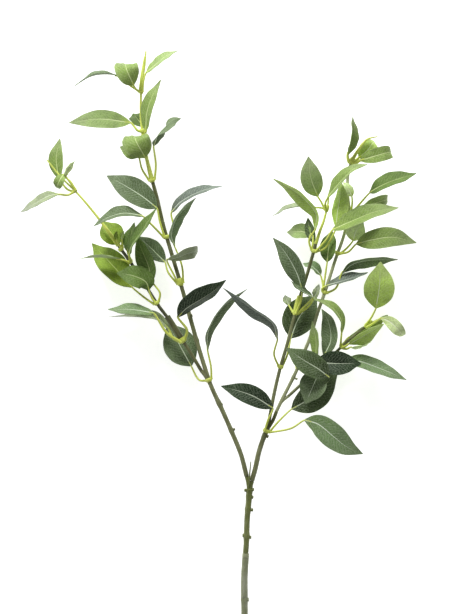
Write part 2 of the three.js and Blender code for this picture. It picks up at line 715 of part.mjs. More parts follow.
// One whorl: the collar, its stalks and leaves in one body, clear of every stem.
function whorl({ on, at, sheath = 0, leaves }, room) {
  const stem = STEMS[on];
  const { point, direction, share } = nearestOnStem(stem, at);
  const boreRadius = THREE.MathUtils.lerp(...stem.radii, share) + GAP;
  let body = collar(point, direction, boreRadius + COLLAR_WALL, sheath);
  leaves.forEach((leaf, i) => {
    const outward = place(leaf.stalk[0]).sub(point).projectOnPlane(direction).normalize();
    const root = point.clone().addScaledVector(outward, boreRadius + COLLAR_WALL / 2);
    body = body.add(leafBody(leaf, root, at[0] + i));
  });
  return largest(body.subtract(room)).simplify(SMALLEST_DETAIL);
}

// The centre line of the steel wire, which stands a little proud of the cut end.
function wireLine(proud) {
  const threaded = ["lower_sleeve", "upper_sleeve", "sleeve_ring", "main_stem"];
  const line = threaded.flatMap((name) => STEMS[name].line);
  const [endX, endY, endZ] = line[0];
  const inside = line.slice(1).filter((point) => point[1] > WIRE_TOP_Y);
  return [[endX, endY + proud, endZ], ...inside].map(place);
}

// The steel wire, or the bore that it lies in, which is wider and runs out past the cut end.
function wire(spare, proud) {
  return rod(wireLine(proud), [WIRE_RADIUS + spare, WIRE_RADIUS + spare], STUB_SIDES, STEM_STEP);
}

const spray = new THREE.Group();
spray.name = "privet_spray";

const bore = wire(GAP, WIRE_PROUD + BORE_RUN_OUT);
const surface = surfaceBlock();
for (const [name, stem] of Object.entries(STEMS)) {
  let body = stemBody(stem, 0).subtract(surface);
  if (["sleeve", "ring", "mainStem"].includes(stem.finish)) body = body.subtract(bore);
  spray.add(meshOf(name, body, stem.finish));
}
spray.add(meshOf("core_wire", wire(0, WIRE_PROUD), "steel"));

const room = wasm.Manifold.union(Object.values(STEMS).map((stem) => stemBody(stem, GAP)));
for (const [name, parts] of Object.entries(WHORLS)) spray.add(meshOf(name, whorl(parts, room), "leaf"));

// The origin is under the middle of the whole spray, on the surface that it lies on.
const box = new THREE.Box3().setFromObject(spray);
const middle = box.getCenter(new THREE.Vector3());
spray.position.set(-middle.x, -middle.y, -box.min.z);

export default spray;
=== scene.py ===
"""A spray of artificial privet, lying on a pale floor and seen from straight above.

Lines are given in millimetres on a full-size layout sheet, x to the right, y down the sheet and z up
from the floor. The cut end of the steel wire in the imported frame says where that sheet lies.
"""

import logging
import math
import random
from collections.abc import Sequence
from dataclasses import dataclass, field
from enum import Enum

import bpy
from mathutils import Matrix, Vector


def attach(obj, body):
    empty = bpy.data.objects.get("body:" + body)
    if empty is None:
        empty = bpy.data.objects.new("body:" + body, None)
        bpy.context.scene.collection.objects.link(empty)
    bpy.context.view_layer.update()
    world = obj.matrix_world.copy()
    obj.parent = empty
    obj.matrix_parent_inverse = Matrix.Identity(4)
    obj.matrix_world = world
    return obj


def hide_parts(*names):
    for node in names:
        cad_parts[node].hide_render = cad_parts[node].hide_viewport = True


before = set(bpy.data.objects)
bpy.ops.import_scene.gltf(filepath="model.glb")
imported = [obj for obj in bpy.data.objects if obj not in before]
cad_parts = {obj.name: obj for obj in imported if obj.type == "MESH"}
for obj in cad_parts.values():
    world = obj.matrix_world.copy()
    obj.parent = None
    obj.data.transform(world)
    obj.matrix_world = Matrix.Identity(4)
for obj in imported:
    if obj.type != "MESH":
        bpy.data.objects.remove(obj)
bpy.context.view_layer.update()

log = logging.getLogger("privet_spray")

Point = tuple[float, float, float]
Range = tuple[float, float]
Colour = tuple[int, int, int]
Paint = tuple[float, ...]
Socket = bpy.types.NodeSocket

MILLIMETRE = 0.001
SHARP_ANGLE = math.radians(48)
RIDGES = 5

# The layout sheet, in millimetres
SHEET_WIDTH = 461
SHEET_HEIGHT = 614
CUT_END = (244.8, 684, 2.7)
WIRE_PROUD = 0.8
WIRE_CAP_DEPTH = 1.0
CORNER_DIGITS = 3

# The curve that turns a printed colour into light: a straight toe, then a power
TOE_END = 0.04045
TOE_SLOPE = 12.92
CURVE_OFFSET = 0.055
CURVE_POWER = 2.4
FULL_CHANNEL = 255


class Tone(Enum):
    """The shades that the leaves are printed in."""

    NIGHT = "blackish green"
    DARK = "dark green"
    SHADE = "dark moss green"
    DUSK = "dull mid green"
    STEEL = "dull grey"
    GREY = "grey green"
    SAGE = "pale grey green"
    MOSS = "yellow green"
    MID = "mid green"
    FRESH = "fresh green"
    LIME = "lime green"
    LIGHT = "light green"


class Finish(Enum):
    """The colours of the moulded plastic."""

    SLEEVE = "grey green sleeve"
    RING = "pale ring"
    MAIN = "olive stem"
    BRANCH = "olive branch that darkens upwards"
    DARK_BRANCH = "dark branch"
    PALE_BRANCH = "olive branch that pales upwards"
    LEADER = "yellow green leader"


FABRIC_SLOT = "leaf_fabric"
PLASTIC_SLOTS = {
    Finish.SLEEVE: "sleeve_plastic",
    Finish.RING: "ring_plastic",
    Finish.MAIN: "stem_plastic",
    Finish.BRANCH: "branch_plastic",
    Finish.DARK_BRANCH: "branch_plastic",
    Finish.PALE_BRANCH: "branch_plastic",
    Finish.LEADER: "leader_plastic",
}


@dataclass(frozen=True)
class Rod:
    """A round rod: its centre line, and its radius at each end."""

    line: tuple[Point, ...]
    radii: Range


@dataclass(frozen=True)
class Leaf:
    """One leaf: its stalk's points, its midrib, its width, its roll at each end, its shade and its fold.

    The roll and the fold are in degrees. The fold is how far each half is raised along the midrib.
    """

    stalk: tuple[Point, ...]
    rib: tuple[Point, ...]
    width: float
    roll: Range
    tone: Tone
    fold: float = 20.0


def linear(share: float) -> float:
    """The light that one channel of a printed colour stands for, both from 0 to 1."""
    curved = ((share + CURVE_OFFSET) / (1 + CURVE_OFFSET)) ** CURVE_POWER
    return share / TOE_SLOPE if share <= TOE_END else curved


def paint(colour: Colour) -> Paint:
    """A colour of three channels up to 255, as the linear values with full cover that a shader takes."""
    return (*(linear(channel / FULL_CHANNEL) for channel in colour), 1.0)


def mix(start: float, end: float, share: float) -> float:
    """The value that lies that share of the way from start to end."""
    return start + (end - start) * share


def raised(point: Vector, height: float) -> Vector:
    """The point, kept at or above a height, as where the floor holds a leaf or a stem up."""
    return Vector((point.x, point.y, max(point.z, height)))


def evenly(length: float, step: float) -> list[float]:
    """Even shares of a length, from 0 to 1 with both ends, that lie about one step apart."""
    spans = max(2, round(length / step))
    return [i / spans for i in range(spans + 1)]


class LayoutSheet:
    """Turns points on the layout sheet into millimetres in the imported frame."""

    def __init__(self, wire: bpy.types.Object) -> None:
        """Finds the sheet by the wire's cut end.

        Args:
            wire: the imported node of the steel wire, which stands proud of the cut end.
        """
        places = [vertex.co for vertex in wire.data.vertices]
        corners = {tuple(round(value / MILLIMETRE, CORNER_DIGITS) for value in place) for place in places}
        lowest = min(corner[1] for corner in corners)
        cap = [Vector(corner) for corner in corners if corner[1] < lowest + WIRE_CAP_DEPTH]
        x, y, z = CUT_END
        self._shift = sum(cap, Vector()) / len(cap) - Vector((x, -y - WIRE_PROUD, z))

    def place(self, point: Sequence[float]) -> Vector:
        """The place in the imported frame, in millimetres, of x, y and z on the sheet."""
        x, y, z = point
        return Vector((x, -y, z)) + self._shift


class SmoothLine:
    """A smooth curve through a few points, measured by the share of its length."""

    DIVISIONS = 200
    NUDGE = 0.001

    def __init__(self, points: Sequence[Vector]) -> None:
        """Draws the curve.

        Args:
            points: the points that it passes through, in order.
        """
        first, second = points[0], points[1]
        before_last, last = points[-2], points[-1]
        self._points = [2 * first - second, *points, 2 * last - before_last]
        drawn = [self._drawn(step / self.DIVISIONS) for step in range(self.DIVISIONS + 1)]
        self._reached = [0.0]
        for start, end in zip(drawn, drawn[1:]):
            self._reached.append(self._reached[-1] + (end - start).length)

    @property
    def length(self) -> float:
        """The whole length."""
        return self._reached[-1]

    def _drawn(self, turn: float) -> Vector:
        """The curve's point by its own count from 0 to 1, which isn't even along the length.

        Args:
            turn: how far through the points it is.

        Returns:
            The point.
        """
        spans = len(self._points) - 3
        span = min(int(turn * spans), spans - 1)
        share = turn * spans - span
        p0, p1, p2, p3 = self._points[span:span + 4]
        pairs = ((p0, p1), (p1, p2), (p2, p3))
        gap0, gap1, gap2 = (math.sqrt((end - start).length) or 1.0 for start, end in pairs)
        leave = ((p1 - p0) / gap0 - (p2 - p0) / (gap0 + gap1) + (p2 - p1) / gap1) * gap1
        arrive = ((p2 - p1) / gap1 - (p3 - p1) / (gap1 + gap2) + (p3 - p2) / gap2) * gap1
        square = share * share
        cube = square * share
        return (p1 + leave * share + (-3 * p1 + 3 * p2 - 2 * leave - arrive) * square
                + (2 * p1 - 2 * p2 + leave + arrive) * cube)

    def point(self, share: float) -> Vector:
        """The point at a share of the length.

        Args:
            share: from 0 at the start to 1 at the end.

        Returns:
            The point.
        """
        wanted = min(max(share, 0.0), 1.0) * self.length
        low, high = 0, self.DIVISIONS
        while high - low > 1:
            middle = (low + high) // 2
            if self._reached[middle] <= wanted:
                low = middle
            else:
                high = middle
        span = self._reached[high] - self._reached[low]
        within = (wanted - self._reached[low]) / span if span else 0.0
        return self._drawn((low + within) / self.DIVISIONS)

    def heading(self, share: float) -> Vector:
        """The direction along the curve.

        Args:
            share: from 0 at the start to 1 at the end.

        Returns:
            A vector of length 1.
        """
        start = max(0.0, share - self.NUDGE)
        end = min(1.0, share + self.NUDGE)
        return (self.point(end) - self.point(start)).normalized()

    def nearest(self, target: Vector) -> float:
        """Where the curve passes closest to a point, as seen from above.

        Args:
            target: the point.

        Returns:
            The share of the length.
        """
        steps = 2 * self.DIVISIONS
        shares = [step / steps for step in range(steps + 1)]
        return min(shares, key=lambda share: (self.point(share) - target).xy.length)


@dataclass
class MeshDraft:
    """A mesh while it is drawn, in millimetres, with notes on each point for the materials to read."""

    points: list[Vector] = field(default_factory=list)
    faces: list[tuple[int, ...]] = field(default_factory=list)
    slots: list[int] = field(default_factory=list)
    notes: dict[str, list[Vector]] = field(default_factory=dict)

    def ring(self, centre: Vector, spokes: Sequence[Vector], note: Sequence[Vector]) -> list[int]:
        """Adds the points of one ring.

        Args:
            centre: the ring's middle.
            spokes: from the middle to each point.
            note: the grain note of each point.

        Returns:
            The numbers of the new points.
        """
        start = len(self.points)
        self.points += [raised(centre + spoke, 0) for spoke in spokes]
        self.notes.setdefault("grain", []).extend(note)
        return list(range(start, len(self.points)))

    def skin(self, rings: Sequence[Sequence[int]]) -> None:
        """Closes a row of rings into a skin with flat ends.

        Args:
            rings: the point numbers of each ring, in order.
        """
        for lower, upper in zip(rings, rings[1:]):
            sides = len(lower)
            for i in range(sides):
                j = (i + 1) % sides
                self.faces.append((lower[i], lower[j], upper[j], upper[i]))
        self.faces.append(tuple(reversed(rings[0])))
        self.faces.append(tuple(rings[-1]))
        self.slots += [0] * (len(self.faces) - len(self.slots))

    def tube(self, line: SmoothLine, radii: Sequence[Range], sides: int, ridge: float = 0.0,
             twist: float = 0.0, run: Range = (0.0, 1.0)) -> None:
        """Adds a tube along a line.

        Args:
            line: the centre line.
            radii: pairs of the share of the length and the radius there, in order.
            sides: how many sides it has.
            ridge: how deep the lengthwise ridges are, as a share of the radius.
            twist: where the ridges start round the tube, in radians.
            run: the share of the whole stem that lies below each of its ends.
        """
        rings = []
        heading = line.heading(0)
        across = heading.orthogonal().normalized()
        for share, radius in radii:
            turned = line.heading(share)
            across = heading.rotation_difference(turned) @ across
            heading = turned
            upright = heading.cross(across)
            spokes = []
            note = []
            for i in range(sides):
                angle = 2 * math.pi * i / sides
                reach = radius * (1 + ridge * math.cos(RIDGES * angle + twist))
                right, up = math.cos(angle), math.sin(angle)
                spokes.append((across * right + upright * up) * reach)
                note.append(Vector((radius * right, radius * up, share * line.length)))
            rings.append(self.ring(line.point(share), spokes, note))
            self.notes.setdefault("run", []).extend([Vector((mix(*run, share), 0, 0))] * sides)
        self.skin(rings)

    def sheet(self, upper: Sequence[Vector], lower: Sequence[Vector], columns: int,
              slot: int = 0) -> None:
        """Adds a closed sheet between two grids of points.

        Args:
            upper: the upper face's points, row by row.
            lower: the lower face's points in the same order.
            columns: how many points a row has.
            slot: the material slot.
        """
        top = len(self.points)
        under = top + len(upper)
        rows = len(upper) // columns
        self.points += [*upper, *lower]
        for row in range(rows - 1):
            for column in range(columns - 1):
                a = row * columns + column
                corners = (a, a + 1, a + columns + 1, a + columns)
                self.faces.append(tuple(top + corner for corner in corners))
                self.faces.append(tuple(under + corner for corner in reversed(corners)))
        rim = [*range(columns), *(row * columns + columns - 1 for row in range(1, rows))]
        rim += [(rows - 1) * columns + column for column in range(columns - 2, -1, -1)]
        rim += [row * columns for row in range(rows - 2, 0, -1)]
        for a, b in zip(rim, [*rim[1:], rim[0]]):
            self.faces.append((top + b, top + a, under + a, under + b))
        self.slots += [slot] * (len(self.faces) - len(self.slots))

    def piece(self, name: str, materials: Sequence[bpy.types.Material]) -> bpy.types.Object:
        """Turns the draft into a piece in the scene.

        Args:
            name: the piece's name.
            materials: one for each slot.

        Returns:
            The new object.
        """
        mesh = bpy.data.meshes.new(name)
        mesh.from_pydata([tuple(point * MILLIMETRE) for point in self.points], [], self.faces)
        mesh.polygons.foreach_set("material_index", self.slots)
        mesh.polygons.foreach_set("use_smooth", [True] * len(self.faces))
        for note, values in self.notes.items():
            attribute = mesh.attributes.new(note, "FLOAT_VECTOR", "POINT")
            attribute.data.foreach_set("vector", [number for value in values for number in value])
        for material in materials:
            mesh.materials.append(material)
        mesh.set_sharp_from_angle(angle=SHARP_ANGLE)
        mesh.update()
        piece = bpy.data.objects.new(name, mesh)
        bpy.context.scene.collection.objects.link(piece)
        return piece


@dataclass(frozen=True)
class Cloud:
    """A cloudy noise: how many clouds fit in a unit, its number of finer layers and their strength."""

    scale: float
    detail: float = 2.0
    roughness: float = 0.5


@dataclass(frozen=True)
class Patches:
    """Patches that grow where a cloudy noise rises between two values, and how far they cover there."""

    cloud: Cloud
    edges: Range
    cover: float = 1.0


class NodeBoard:
    """A new material's nodes, added and wired one at a time."""

    # The places of the colour sockets on a mixing node
    MIX_SHARE = 0
    MIX_FIRST = 6
    MIX_SECOND = 7
    MIX_RESULT = 2

    def __init__(self, name: str) -> None:
        """Makes the material with an empty shader and its output.

        Args:
            name: the material's name.
        """
        self.material = bpy.data.materials.new(name)
        self.material.use_nodes = True
        self._tree = self.material.node_tree
        self._tree.nodes.clear()
        self.shader = self._tree.nodes.new("ShaderNodeBsdfPrincipled")
        output = self._tree.nodes.new("ShaderNodeOutputMaterial")
        self.wire(self.shader.outputs["BSDF"], output.inputs["Surface"])

    def wire(self, source: Socket | float | Paint, target: Socket) -> None:
        """Feeds a socket from another socket, or sets it to a plain value.

        Args:
            source: the other socket or the value.
            target: the socket that takes it.
        """
        if isinstance(source, Socket):
            self._tree.links.new(source, target)
        else:
            target.default_value = source

    def note(self, name: str) -> Socket:
        """Reads a note that was kept on each point of the mesh.

        Args:
            name: the note's name.

        Returns:
            The note, as a vector.
        """
        node = self._tree.nodes.new("ShaderNodeAttribute")
        node.attribute_name = name
        return node.outputs["Vector"]

    def coordinates(self) -> Socket:
        """The place on the object, in metres."""
        return self._tree.nodes.new("ShaderNodeTexCoord").outputs["Object"]

    def parts(self, vector: Socket) -> tuple[Socket, ...]:
        """Takes a vector apart.

        Args:
            vector: the vector.

        Returns:
            Its three numbers.
        """
        node = self._tree.nodes.new("ShaderNodeSeparateXYZ")
        self.wire(vector, node.inputs[0])
        return tuple(node.outputs)

    def vector(self, *numbers: Socket | float) -> Socket:
        """Puts a vector together.

        Args:
            *numbers: its three numbers.

        Returns:
            The vector.
        """
        node = self._tree.nodes.new("ShaderNodeCombineXYZ")
        for number, socket in zip(numbers, node.inputs):
            self.wire(number, socket)
        return node.outputs[0]

    def maths(self, operation: str, *numbers: Socket | float) -> Socket:
        """Does one operation on numbers.

        Args:
            operation: the maths node's name for it.
            *numbers: what it works on, in the node's order.

        Returns:
            The result.
        """
        node = self._tree.nodes.new("ShaderNodeMath")
        node.operation = operation
        for number, socket in zip(numbers, node.inputs):
            self.wire(number, socket)
        return node.outputs[0]

    def times(self, first: Socket | float, second: Socket | float) -> Socket:
        """The first number times the second."""
        return self.maths("MULTIPLY", first, second)

    def plus(self, first: Socket | float, second: Socket | float) -> Socket:
        """The two numbers together."""
        return self.maths("ADD", first, second)

    def minus(self, first: Socket | float, second: Socket | float) -> Socket:
        """The first number less the second."""
        return self.maths("SUBTRACT", first, second)

    def noise(self, place: Socket, cloud: Cloud) -> Socket:
        """A cloudy noise.

        Args:
            place: where it is read.
            cloud: its scale and how fine it is.

        Returns:
            Its value from 0 to 1.
        """
        node = self._tree.nodes.new("ShaderNodeTexNoise")
        self.wire(place, node.inputs["Vector"])
        self.wire(cloud.scale, node.inputs["Scale"])
        self.wire(cloud.detail, node.inputs["Detail"])
        self.wire(cloud.roughness, node.inputs["Roughness"])
        return node.outputs["Fac"]

    def patches(self, place: Socket, patches: Patches) -> Socket:
        """How far the patches cover a place."""
        return self.ramp(self.noise(place, patches.cloud), patches.edges, (0.0, patches.cover))

    def cells(self, place: Socket, scale: float) -> Socket:
        """The distance to the nearest border between uneven cells.

        Args:
            place: where it is read.
            scale: how many cells fit in one unit.

        Returns:
            The distance, in cells.
        """
        node = self._tree.nodes.new("ShaderNodeTexVoronoi")
        node.feature = "DISTANCE_TO_EDGE"
        self.wire(place, node.inputs["Vector"])
        self.wire(scale, node.inputs["Scale"])
        return node.outputs["Distance"]

    def ramp(self, value: Socket, edges: Sequence[Socket | float],
             results: Sequence[Socket | float] = (0.0, 1.0)) -> Socket:
        """A smooth change from one result to another as a value passes from one edge to the other.

        Args:
            value: what it follows.
            edges: where the change starts and where it is over.
            results: the results before and after it.

        Returns:
            The result.
        """
        node = self._tree.nodes.new("ShaderNodeMapRange")
        node.interpolation_type = "SMOOTHSTEP"
        names = ("Value", "From Min", "From Max", "To Min", "To Max")
        for name, number in zip(names, (value, *edges, *results)):
            self.wire(number, node.inputs[name])
        return node.outputs["Result"]

    def blend(self, share: Socket, first: Socket | Paint, second: Socket | Paint) -> Socket:
        """Mixes two colours.

        Args:
            share: how much of the second there is, from 0 to 1.
            first: the first colour.
            second: the second colour.

        Returns:
            The mixed colour.
        """
        node = self._tree.nodes.new("ShaderNodeMix")
        node.data_type = "RGBA"
        self.wire(share, node.inputs[self.MIX_SHARE])
        self.wire(first, node.inputs[self.MIX_FIRST])
        self.wire(second, node.inputs[self.MIX_SECOND])
        return node.outputs[self.MIX_RESULT]

    def bump(self, height: Socket, depth: float) -> None:
        """Raises the surface by a height from 0 to 1.

        Args:
            height: the height.
            depth: how much a height of 1 is, in millimetres.
        """
        node = self._tree.nodes.new("ShaderNodeBump")
        self.wire(depth * MILLIMETRE, node.inputs["Distance"])
        self.wire(height, node.inputs["Height"])
        self.wire(node.outputs["Normal"], self.shader.inputs["Normal"])

    def feel(self, **values: float | Paint) -> None:
        """Sets sockets of the shader, which are named with an underscore for each space."""
        for name, value in values.items():
            self.shader.inputs[name.replace("_", " ")].default_value = value


@dataclass(frozen=True)
class MouldedPlastic:
    """Moulded plastic with lengthwise streaks and pale scuffs, which changes colour up the stem."""

    base: Colour
    streak: Colour
    worn: Colour
    top: Colour
    fade: Range = (0.4, 0.75)
    grain_stretch: float = 0.12
    streaks: Patches = Patches(Cloud(0.9, 3), (0.4, 0.62), 0.6)
    scuffs: Patches = Patches(Cloud(0.11), (0.45, 0.75), 0.6)
    specks: Cloud = Cloud(2.2)
    speck_edges: Range = (0.3, 0.7)
    roughness: float = 0.5
    roughness_spread: float = 0.1
    streak_relief: float = 0.7
    relief: float = 0.12
    refraction: float = 1.46

    def material(self, name: str) -> bpy.types.Material:
        """Builds the material.

        Args:
            name: the material's name.

        Returns:
            The material.
        """
        board = NodeBoard(name)
        grain = board.note("grain")
        across, aside, along = board.parts(grain)
        stretched = board.vector(across, aside, board.times(along, self.grain_stretch))
        streaks = board.patches(stretched, self.streaks)
        scuffs = board.patches(grain, self.scuffs)
        specks = board.noise(grain, self.specks)
        run, _, _ = board.parts(board.note("run"))
        colour = board.blend(board.ramp(run, self.fade), paint(self.base), paint(self.top))
        colour = board.blend(scuffs, colour, paint(self.worn))
        colour = board.blend(streaks, colour, paint(self.streak))
        board.wire(colour, board.shader.inputs["Base Color"])
        roughness = (self.roughness - self.roughness_spread, self.roughness + self.roughness_spread)
        board.wire(board.ramp(specks, self.speck_edges, roughness), board.shader.inputs["Roughness"])
        board.bump(board.maths("MULTIPLY_ADD", streaks, self.streak_relief, specks), self.relief)
        board.feel(IOR=self.refraction)
        return board.material


class PlasticKit:
    """The moulded plastics of the spray."""

    DULL = 0.6
    GLOSSY = 0.45
    PLASTICS = {
        Finish.SLEEVE: MouldedPlastic(
            base=(162, 166, 142), streak=(124, 131, 94), worn=(170, 173, 152), top=(138, 144, 112),
            roughness=DULL,
        ),
        Finish.RING: MouldedPlastic(
            base=(164, 170, 134), streak=(142, 148, 112), worn=(178, 182, 150), top=(164, 170, 134),
            roughness=DULL,
        ),
        Finish.MAIN: MouldedPlastic(
            base=(122, 130, 74), streak=(84, 92, 48), worn=(136, 140, 106), top=(112, 120, 60),
        ),
        Finish.BRANCH: MouldedPlastic(
            base=(126, 131, 90), streak=(84, 85, 52), worn=(134, 138, 106), top=(86, 90, 48),
            fade=(0.45, 0.85),
        ),
        Finish.DARK_BRANCH: MouldedPlastic(
            base=(104, 108, 64), streak=(52, 51, 33), worn=(100, 102, 72), top=(62, 65, 38),
            fade=(0.2, 0.55),
        ),
        Finish.PALE_BRANCH: MouldedPlastic(
            base=(156, 161, 122), streak=(128, 133, 94), worn=(170, 175, 142), top=(172, 181, 136),
        ),
        Finish.LEADER: MouldedPlastic(
            base=(206, 217, 100), streak=(182, 195, 72), worn=(219, 224, 134), top=(206, 217, 106),
            roughness=GLOSSY,
        ),
    }

    def __init__(self) -> None:
        """Builds one material for each finish."""
        self._materials = {finish: kind.material(finish.value) for finish, kind in self.PLASTICS.items()}

    def material(self, finish: Finish) -> bpy.types.Material:
        """The material of a finish."""
        return self._materials[finish]


@dataclass(frozen=True)
class BladePlace:
    """Where a point lies on its blade.

    It holds the share of the midrib's length, the place from -1 to 1 across the blade, the millimetres
    along the midrib and off it, and the place where the print is read.
    """

    share: Socket
    across: Socket
    along: Socket
    aside: Socket
    printed: Socket


@dataclass(frozen=True)
class LeafFabric:
    """Printed woven fabric: a brushed green with a painted grey sheen towards the tip, pale veins and a
    dull back.
    """

    root: Colour
    face: Colour
    tip: Colour
    rib: Colour

    # The ground, which turns from the root's colour to the face's and on to the tip's grey, a painted sheen
    # that also lies along the edges
    ground_cloud: Cloud = Cloud(0.12)
    ground_raggedness: float = 0.5
    face_edges: Range = (0.2, 0.62)
    tip_sheen_edges: Range = (0.7, 1.3)
    tip_sheen_cover: float = 0.9
    rim_sheen_edges: Range = (0.7, 1.0)
    rim_sheen_cover: float = 0.5

    # The uneven print
    print_spread: float = 3.7
    depth: float = 0.42
    stroke_stretch: float = 0.2
    strokes: Patches = Patches(Cloud(0.7, 3, 0.6), (0.34, 0.68))
    stroke_cover: float = 0.25
    blotches: Patches = Patches(Cloud(0.12, 3), (0.38, 0.66), 0.3)
    specks: Patches = Patches(Cloud(0.8, 2, 0.7), (0.48, 0.62), 0.45)
    flecks: Patches = Patches(Cloud(1.12, 2, 0.7), (0.53, 0.66), 0.3)
    back_cover: float = 0.6
    back_stroke_cover: float = 0.4

    # The veins, in millimetres or as shares of the blade
    vein_pitch: float = 3.6
    vein_slant: float = 1.3
    vein_bend: float = 0.03
    vein_wander: Cloud = Cloud(0.16)
    vein_wander_reach: float = 1.6
    vein_half_width: float = 0.5
    vein_rim: Range = (0.5, 0.95)
    vein_tip: Range = (0.72, 0.92)
    vein_cover: float = 0.34
    net_scale: float = 0.42
    net_edges: Range = (0.02, 0.16)
    net_cover: float = 0.14
    rib_half_width: float = 0.72
    rib_tip_half_width: float = 0.16
    rib_core: float = 0.5
    rib_tip: Range = (0.7, 0.9)

    # The cloth
    weave_pitch: float = 0.9
    weave_height: float = 0.35
    vein_sink: float = 0.6
    rib_sink: float = 0.8
    relief: float = 0.2
    roughness: Range = (0.49, 0.63)
    gloss: float = 0.22
    refraction: float = 1.42
    sheen: float = 0.04
    sheen_roughness: float = 0.45
    sheen_tint: Colour = (214, 224, 206)

    def material(self, name: str) -> bpy.types.Material:
        """Builds the material.

        Args:
            name: the material's name.

        Returns:
            The material.
        """
        board = NodeBoard(name)
        share, across, seed = board.parts(board.note("blade"))
        along, aside, under = board.parts(board.note("cloth"))
        apart = board.times(seed, self.print_spread)
        place = BladePlace(share, across, along, aside, board.vector(along, aside, apart))
        brushed = board.vector(board.times(along, self.stroke_stretch), aside, apart)
        strokes = board.patches(brushed, self.strokes)
        veins = self._veins(board, place)
        rib = self._midrib(board, place)
        colour = self._strength(board, self._ground(board, place), place, strokes)
        pale = board.plus(board.times(veins, self.vein_cover), self._net(board, place))
        colour = board.blend(pale, colour, self._thread())
        colour = board.blend(rib, colour, paint(self.rib))
        back = board.blend(board.times(strokes, self.back_stroke_cover), paint(self.tip), paint(self.face))
        colour = board.blend(board.times(under, self.back_cover), colour, back)
        board.wire(colour, board.shader.inputs["Base Color"])
        self._cloth(board, place, veins, rib)
        return board.material

    def _thread(self) -> Paint:
        """The colour of the side veins and flecks, halfway between the tip's and the midrib's."""
        return tuple((tip + rib) / 2 for tip, rib in zip(paint(self.tip), paint(self.rib)))

    def _ground(self, board: NodeBoard, place: BladePlace) -> Socket:
        """The print's ground, deep at the base, with a painted grey sheen at the tip and the edges.

        Args:
            board: where the nodes go.
            place: where on the blade it is read.

        Returns:
            The colour.
        """
        clouds = board.noise(place.printed, self.ground_cloud)
        ragged = board.maths("MULTIPLY_ADD", clouds, self.ground_raggedness, place.share)
        ground = board.blend(board.ramp(ragged, self.face_edges), paint(self.root), paint(self.face))
        # Painted sheen: the ground greys towards the tip, in the tip's colour
        tip_sheen = board.ramp(ragged, self.tip_sheen_edges, (0.0, self.tip_sheen_cover))
        ground = board.blend(tip_sheen, ground, paint(self.tip))
        # Painted sheen along the edges, in the tip's grey
        rim = board.ramp(board.maths("ABSOLUTE", place.across), self.rim_sheen_edges, (0.0, self.rim_sheen_cover))
        return board.blend(rim, ground, paint(self.tip))

    def _strength(self, board: NodeBoard, colour: Socket, place: BladePlace, strokes: Socket) -> Socket:
        """The uneven strength of the print: blotches, brush strokes, dark specks and pale flecks.

        Args:
            board: where the nodes go.
            colour: the ground.
            place: where on the blade it is read.
            strokes: the brush strokes from 0 to 1.

        Returns:
            The colour.
        """
        red, green, blue, full = paint(self.face)
        dark = (red * self.depth, green * self.depth, blue * self.depth, full)
        blotches = board.patches(place.printed, self.blotches)
        colour = board.blend(board.plus(blotches, board.times(strokes, self.stroke_cover)), colour, dark)
        colour = board.blend(board.patches(place.printed, self.specks), colour, dark)
        return board.blend(board.patches(place.printed, self.flecks), colour, self._thread())

    def _net(self, board: NodeBoard, place: BladePlace) -> Socket:
        """How far the pale print of the fine net between the side veins covers."""
        return board.ramp(board.cells(place.printed, self.net_scale), self.net_edges, (self.net_cover, 0.0))

    def _veins(self, board: NodeBoard, place: BladePlace) -> Socket:
        """The side veins, which leave the midrib in pairs and bend towards the tip.

        Args:
            board: where the nodes go.
            place: where on the blade it is read.

        Returns:
            1 on a vein and 0 off it.
        """
        off = board.maths("ABSOLUTE", place.aside)
        straight = board.times(off, self.vein_slant)
        bent = board.minus(straight, board.times(board.times(off, off), self.vein_bend))
        wander = board.noise(board.vector(place.along, place.aside, 0.0), self.vein_wander)
        count = board.maths("DIVIDE", board.minus(place.along, bent), self.vein_pitch)
        count = board.maths("MULTIPLY_ADD", wander, self.vein_wander_reach, count)
        distance = board.times(board.maths("PINGPONG", count, 0.5), self.vein_pitch)
        line = board.ramp(distance, (0.0, self.vein_half_width), (1.0, 0.0))
        rim = board.ramp(board.maths("ABSOLUTE", place.across), self.vein_rim, (1.0, 0.0))
        tip = board.ramp(place.share, self.vein_tip, (1.0, 0.0))
        return board.times(line, board.times(rim, tip))

    def _midrib(self, board: NodeBoard, place: BladePlace) -> Socket:
        """The pale midrib, which thins towards the tip.

        Args:
            board: where the nodes go.
            place: where on the blade it is read.

        Returns:
            1 on the midrib and 0 off it.
        """
        _, end = self.rib_tip
        half = board.ramp(place.share, (0.0, end), (self.rib_half_width, self.rib_tip_half_width))
        off = board.maths("ABSOLUTE", place.aside)
        line = board.ramp(off, (board.times(half, self.rib_core), half), (1.0, 0.0))
        return board.times(line, board.ramp(place.share, self.rib_tip, (1.0, 0.0)))

    def _weave(self, board: NodeBoard, place: BladePlace) -> Socket:
        """The cloth's warp and weft.

        Args:
            board: where the nodes go.
            place: where on the blade it is read.

        Returns:
            The height of the threads from 0 to 1.
        """
        turn = 2 * math.pi / self.weave_pitch
        warp = board.maths("SINE", board.times(place.along, turn))
        weft = board.maths("SINE", board.times(place.aside, turn))
        return board.maths("MULTIPLY_ADD", board.times(warp, weft), 0.5, 0.5)

    def _cloth(self, board: NodeBoard, place: BladePlace, veins: Socket, rib: Socket) -> None:
        """Sets how the cloth takes the light: its threads, its pressed veins and its sheen.

        Args:
            board: where the nodes go.
            place: where on the blade it is read.
            veins: 1 on a side vein and 0 off it.
            rib: 1 on the midrib and 0 off it.
        """
        weave = self._weave(board, place)
        board.wire(board.ramp(weave, (0.0, 1.0), self.roughness), board.shader.inputs["Roughness"])
        height = board.minus(board.times(weave, self.weave_height), board.times(veins, self.vein_sink))
        board.bump(board.minus(height, board.times(rib, self.rib_sink)), self.relief)
        board.feel(
            Sheen_Weight=self.sheen,
            Sheen_Roughness=self.sheen_roughness,
            Sheen_Tint=paint(self.sheen_tint),
            Specular_IOR_Level=self.gloss,
            IOR=self.refraction,
        )


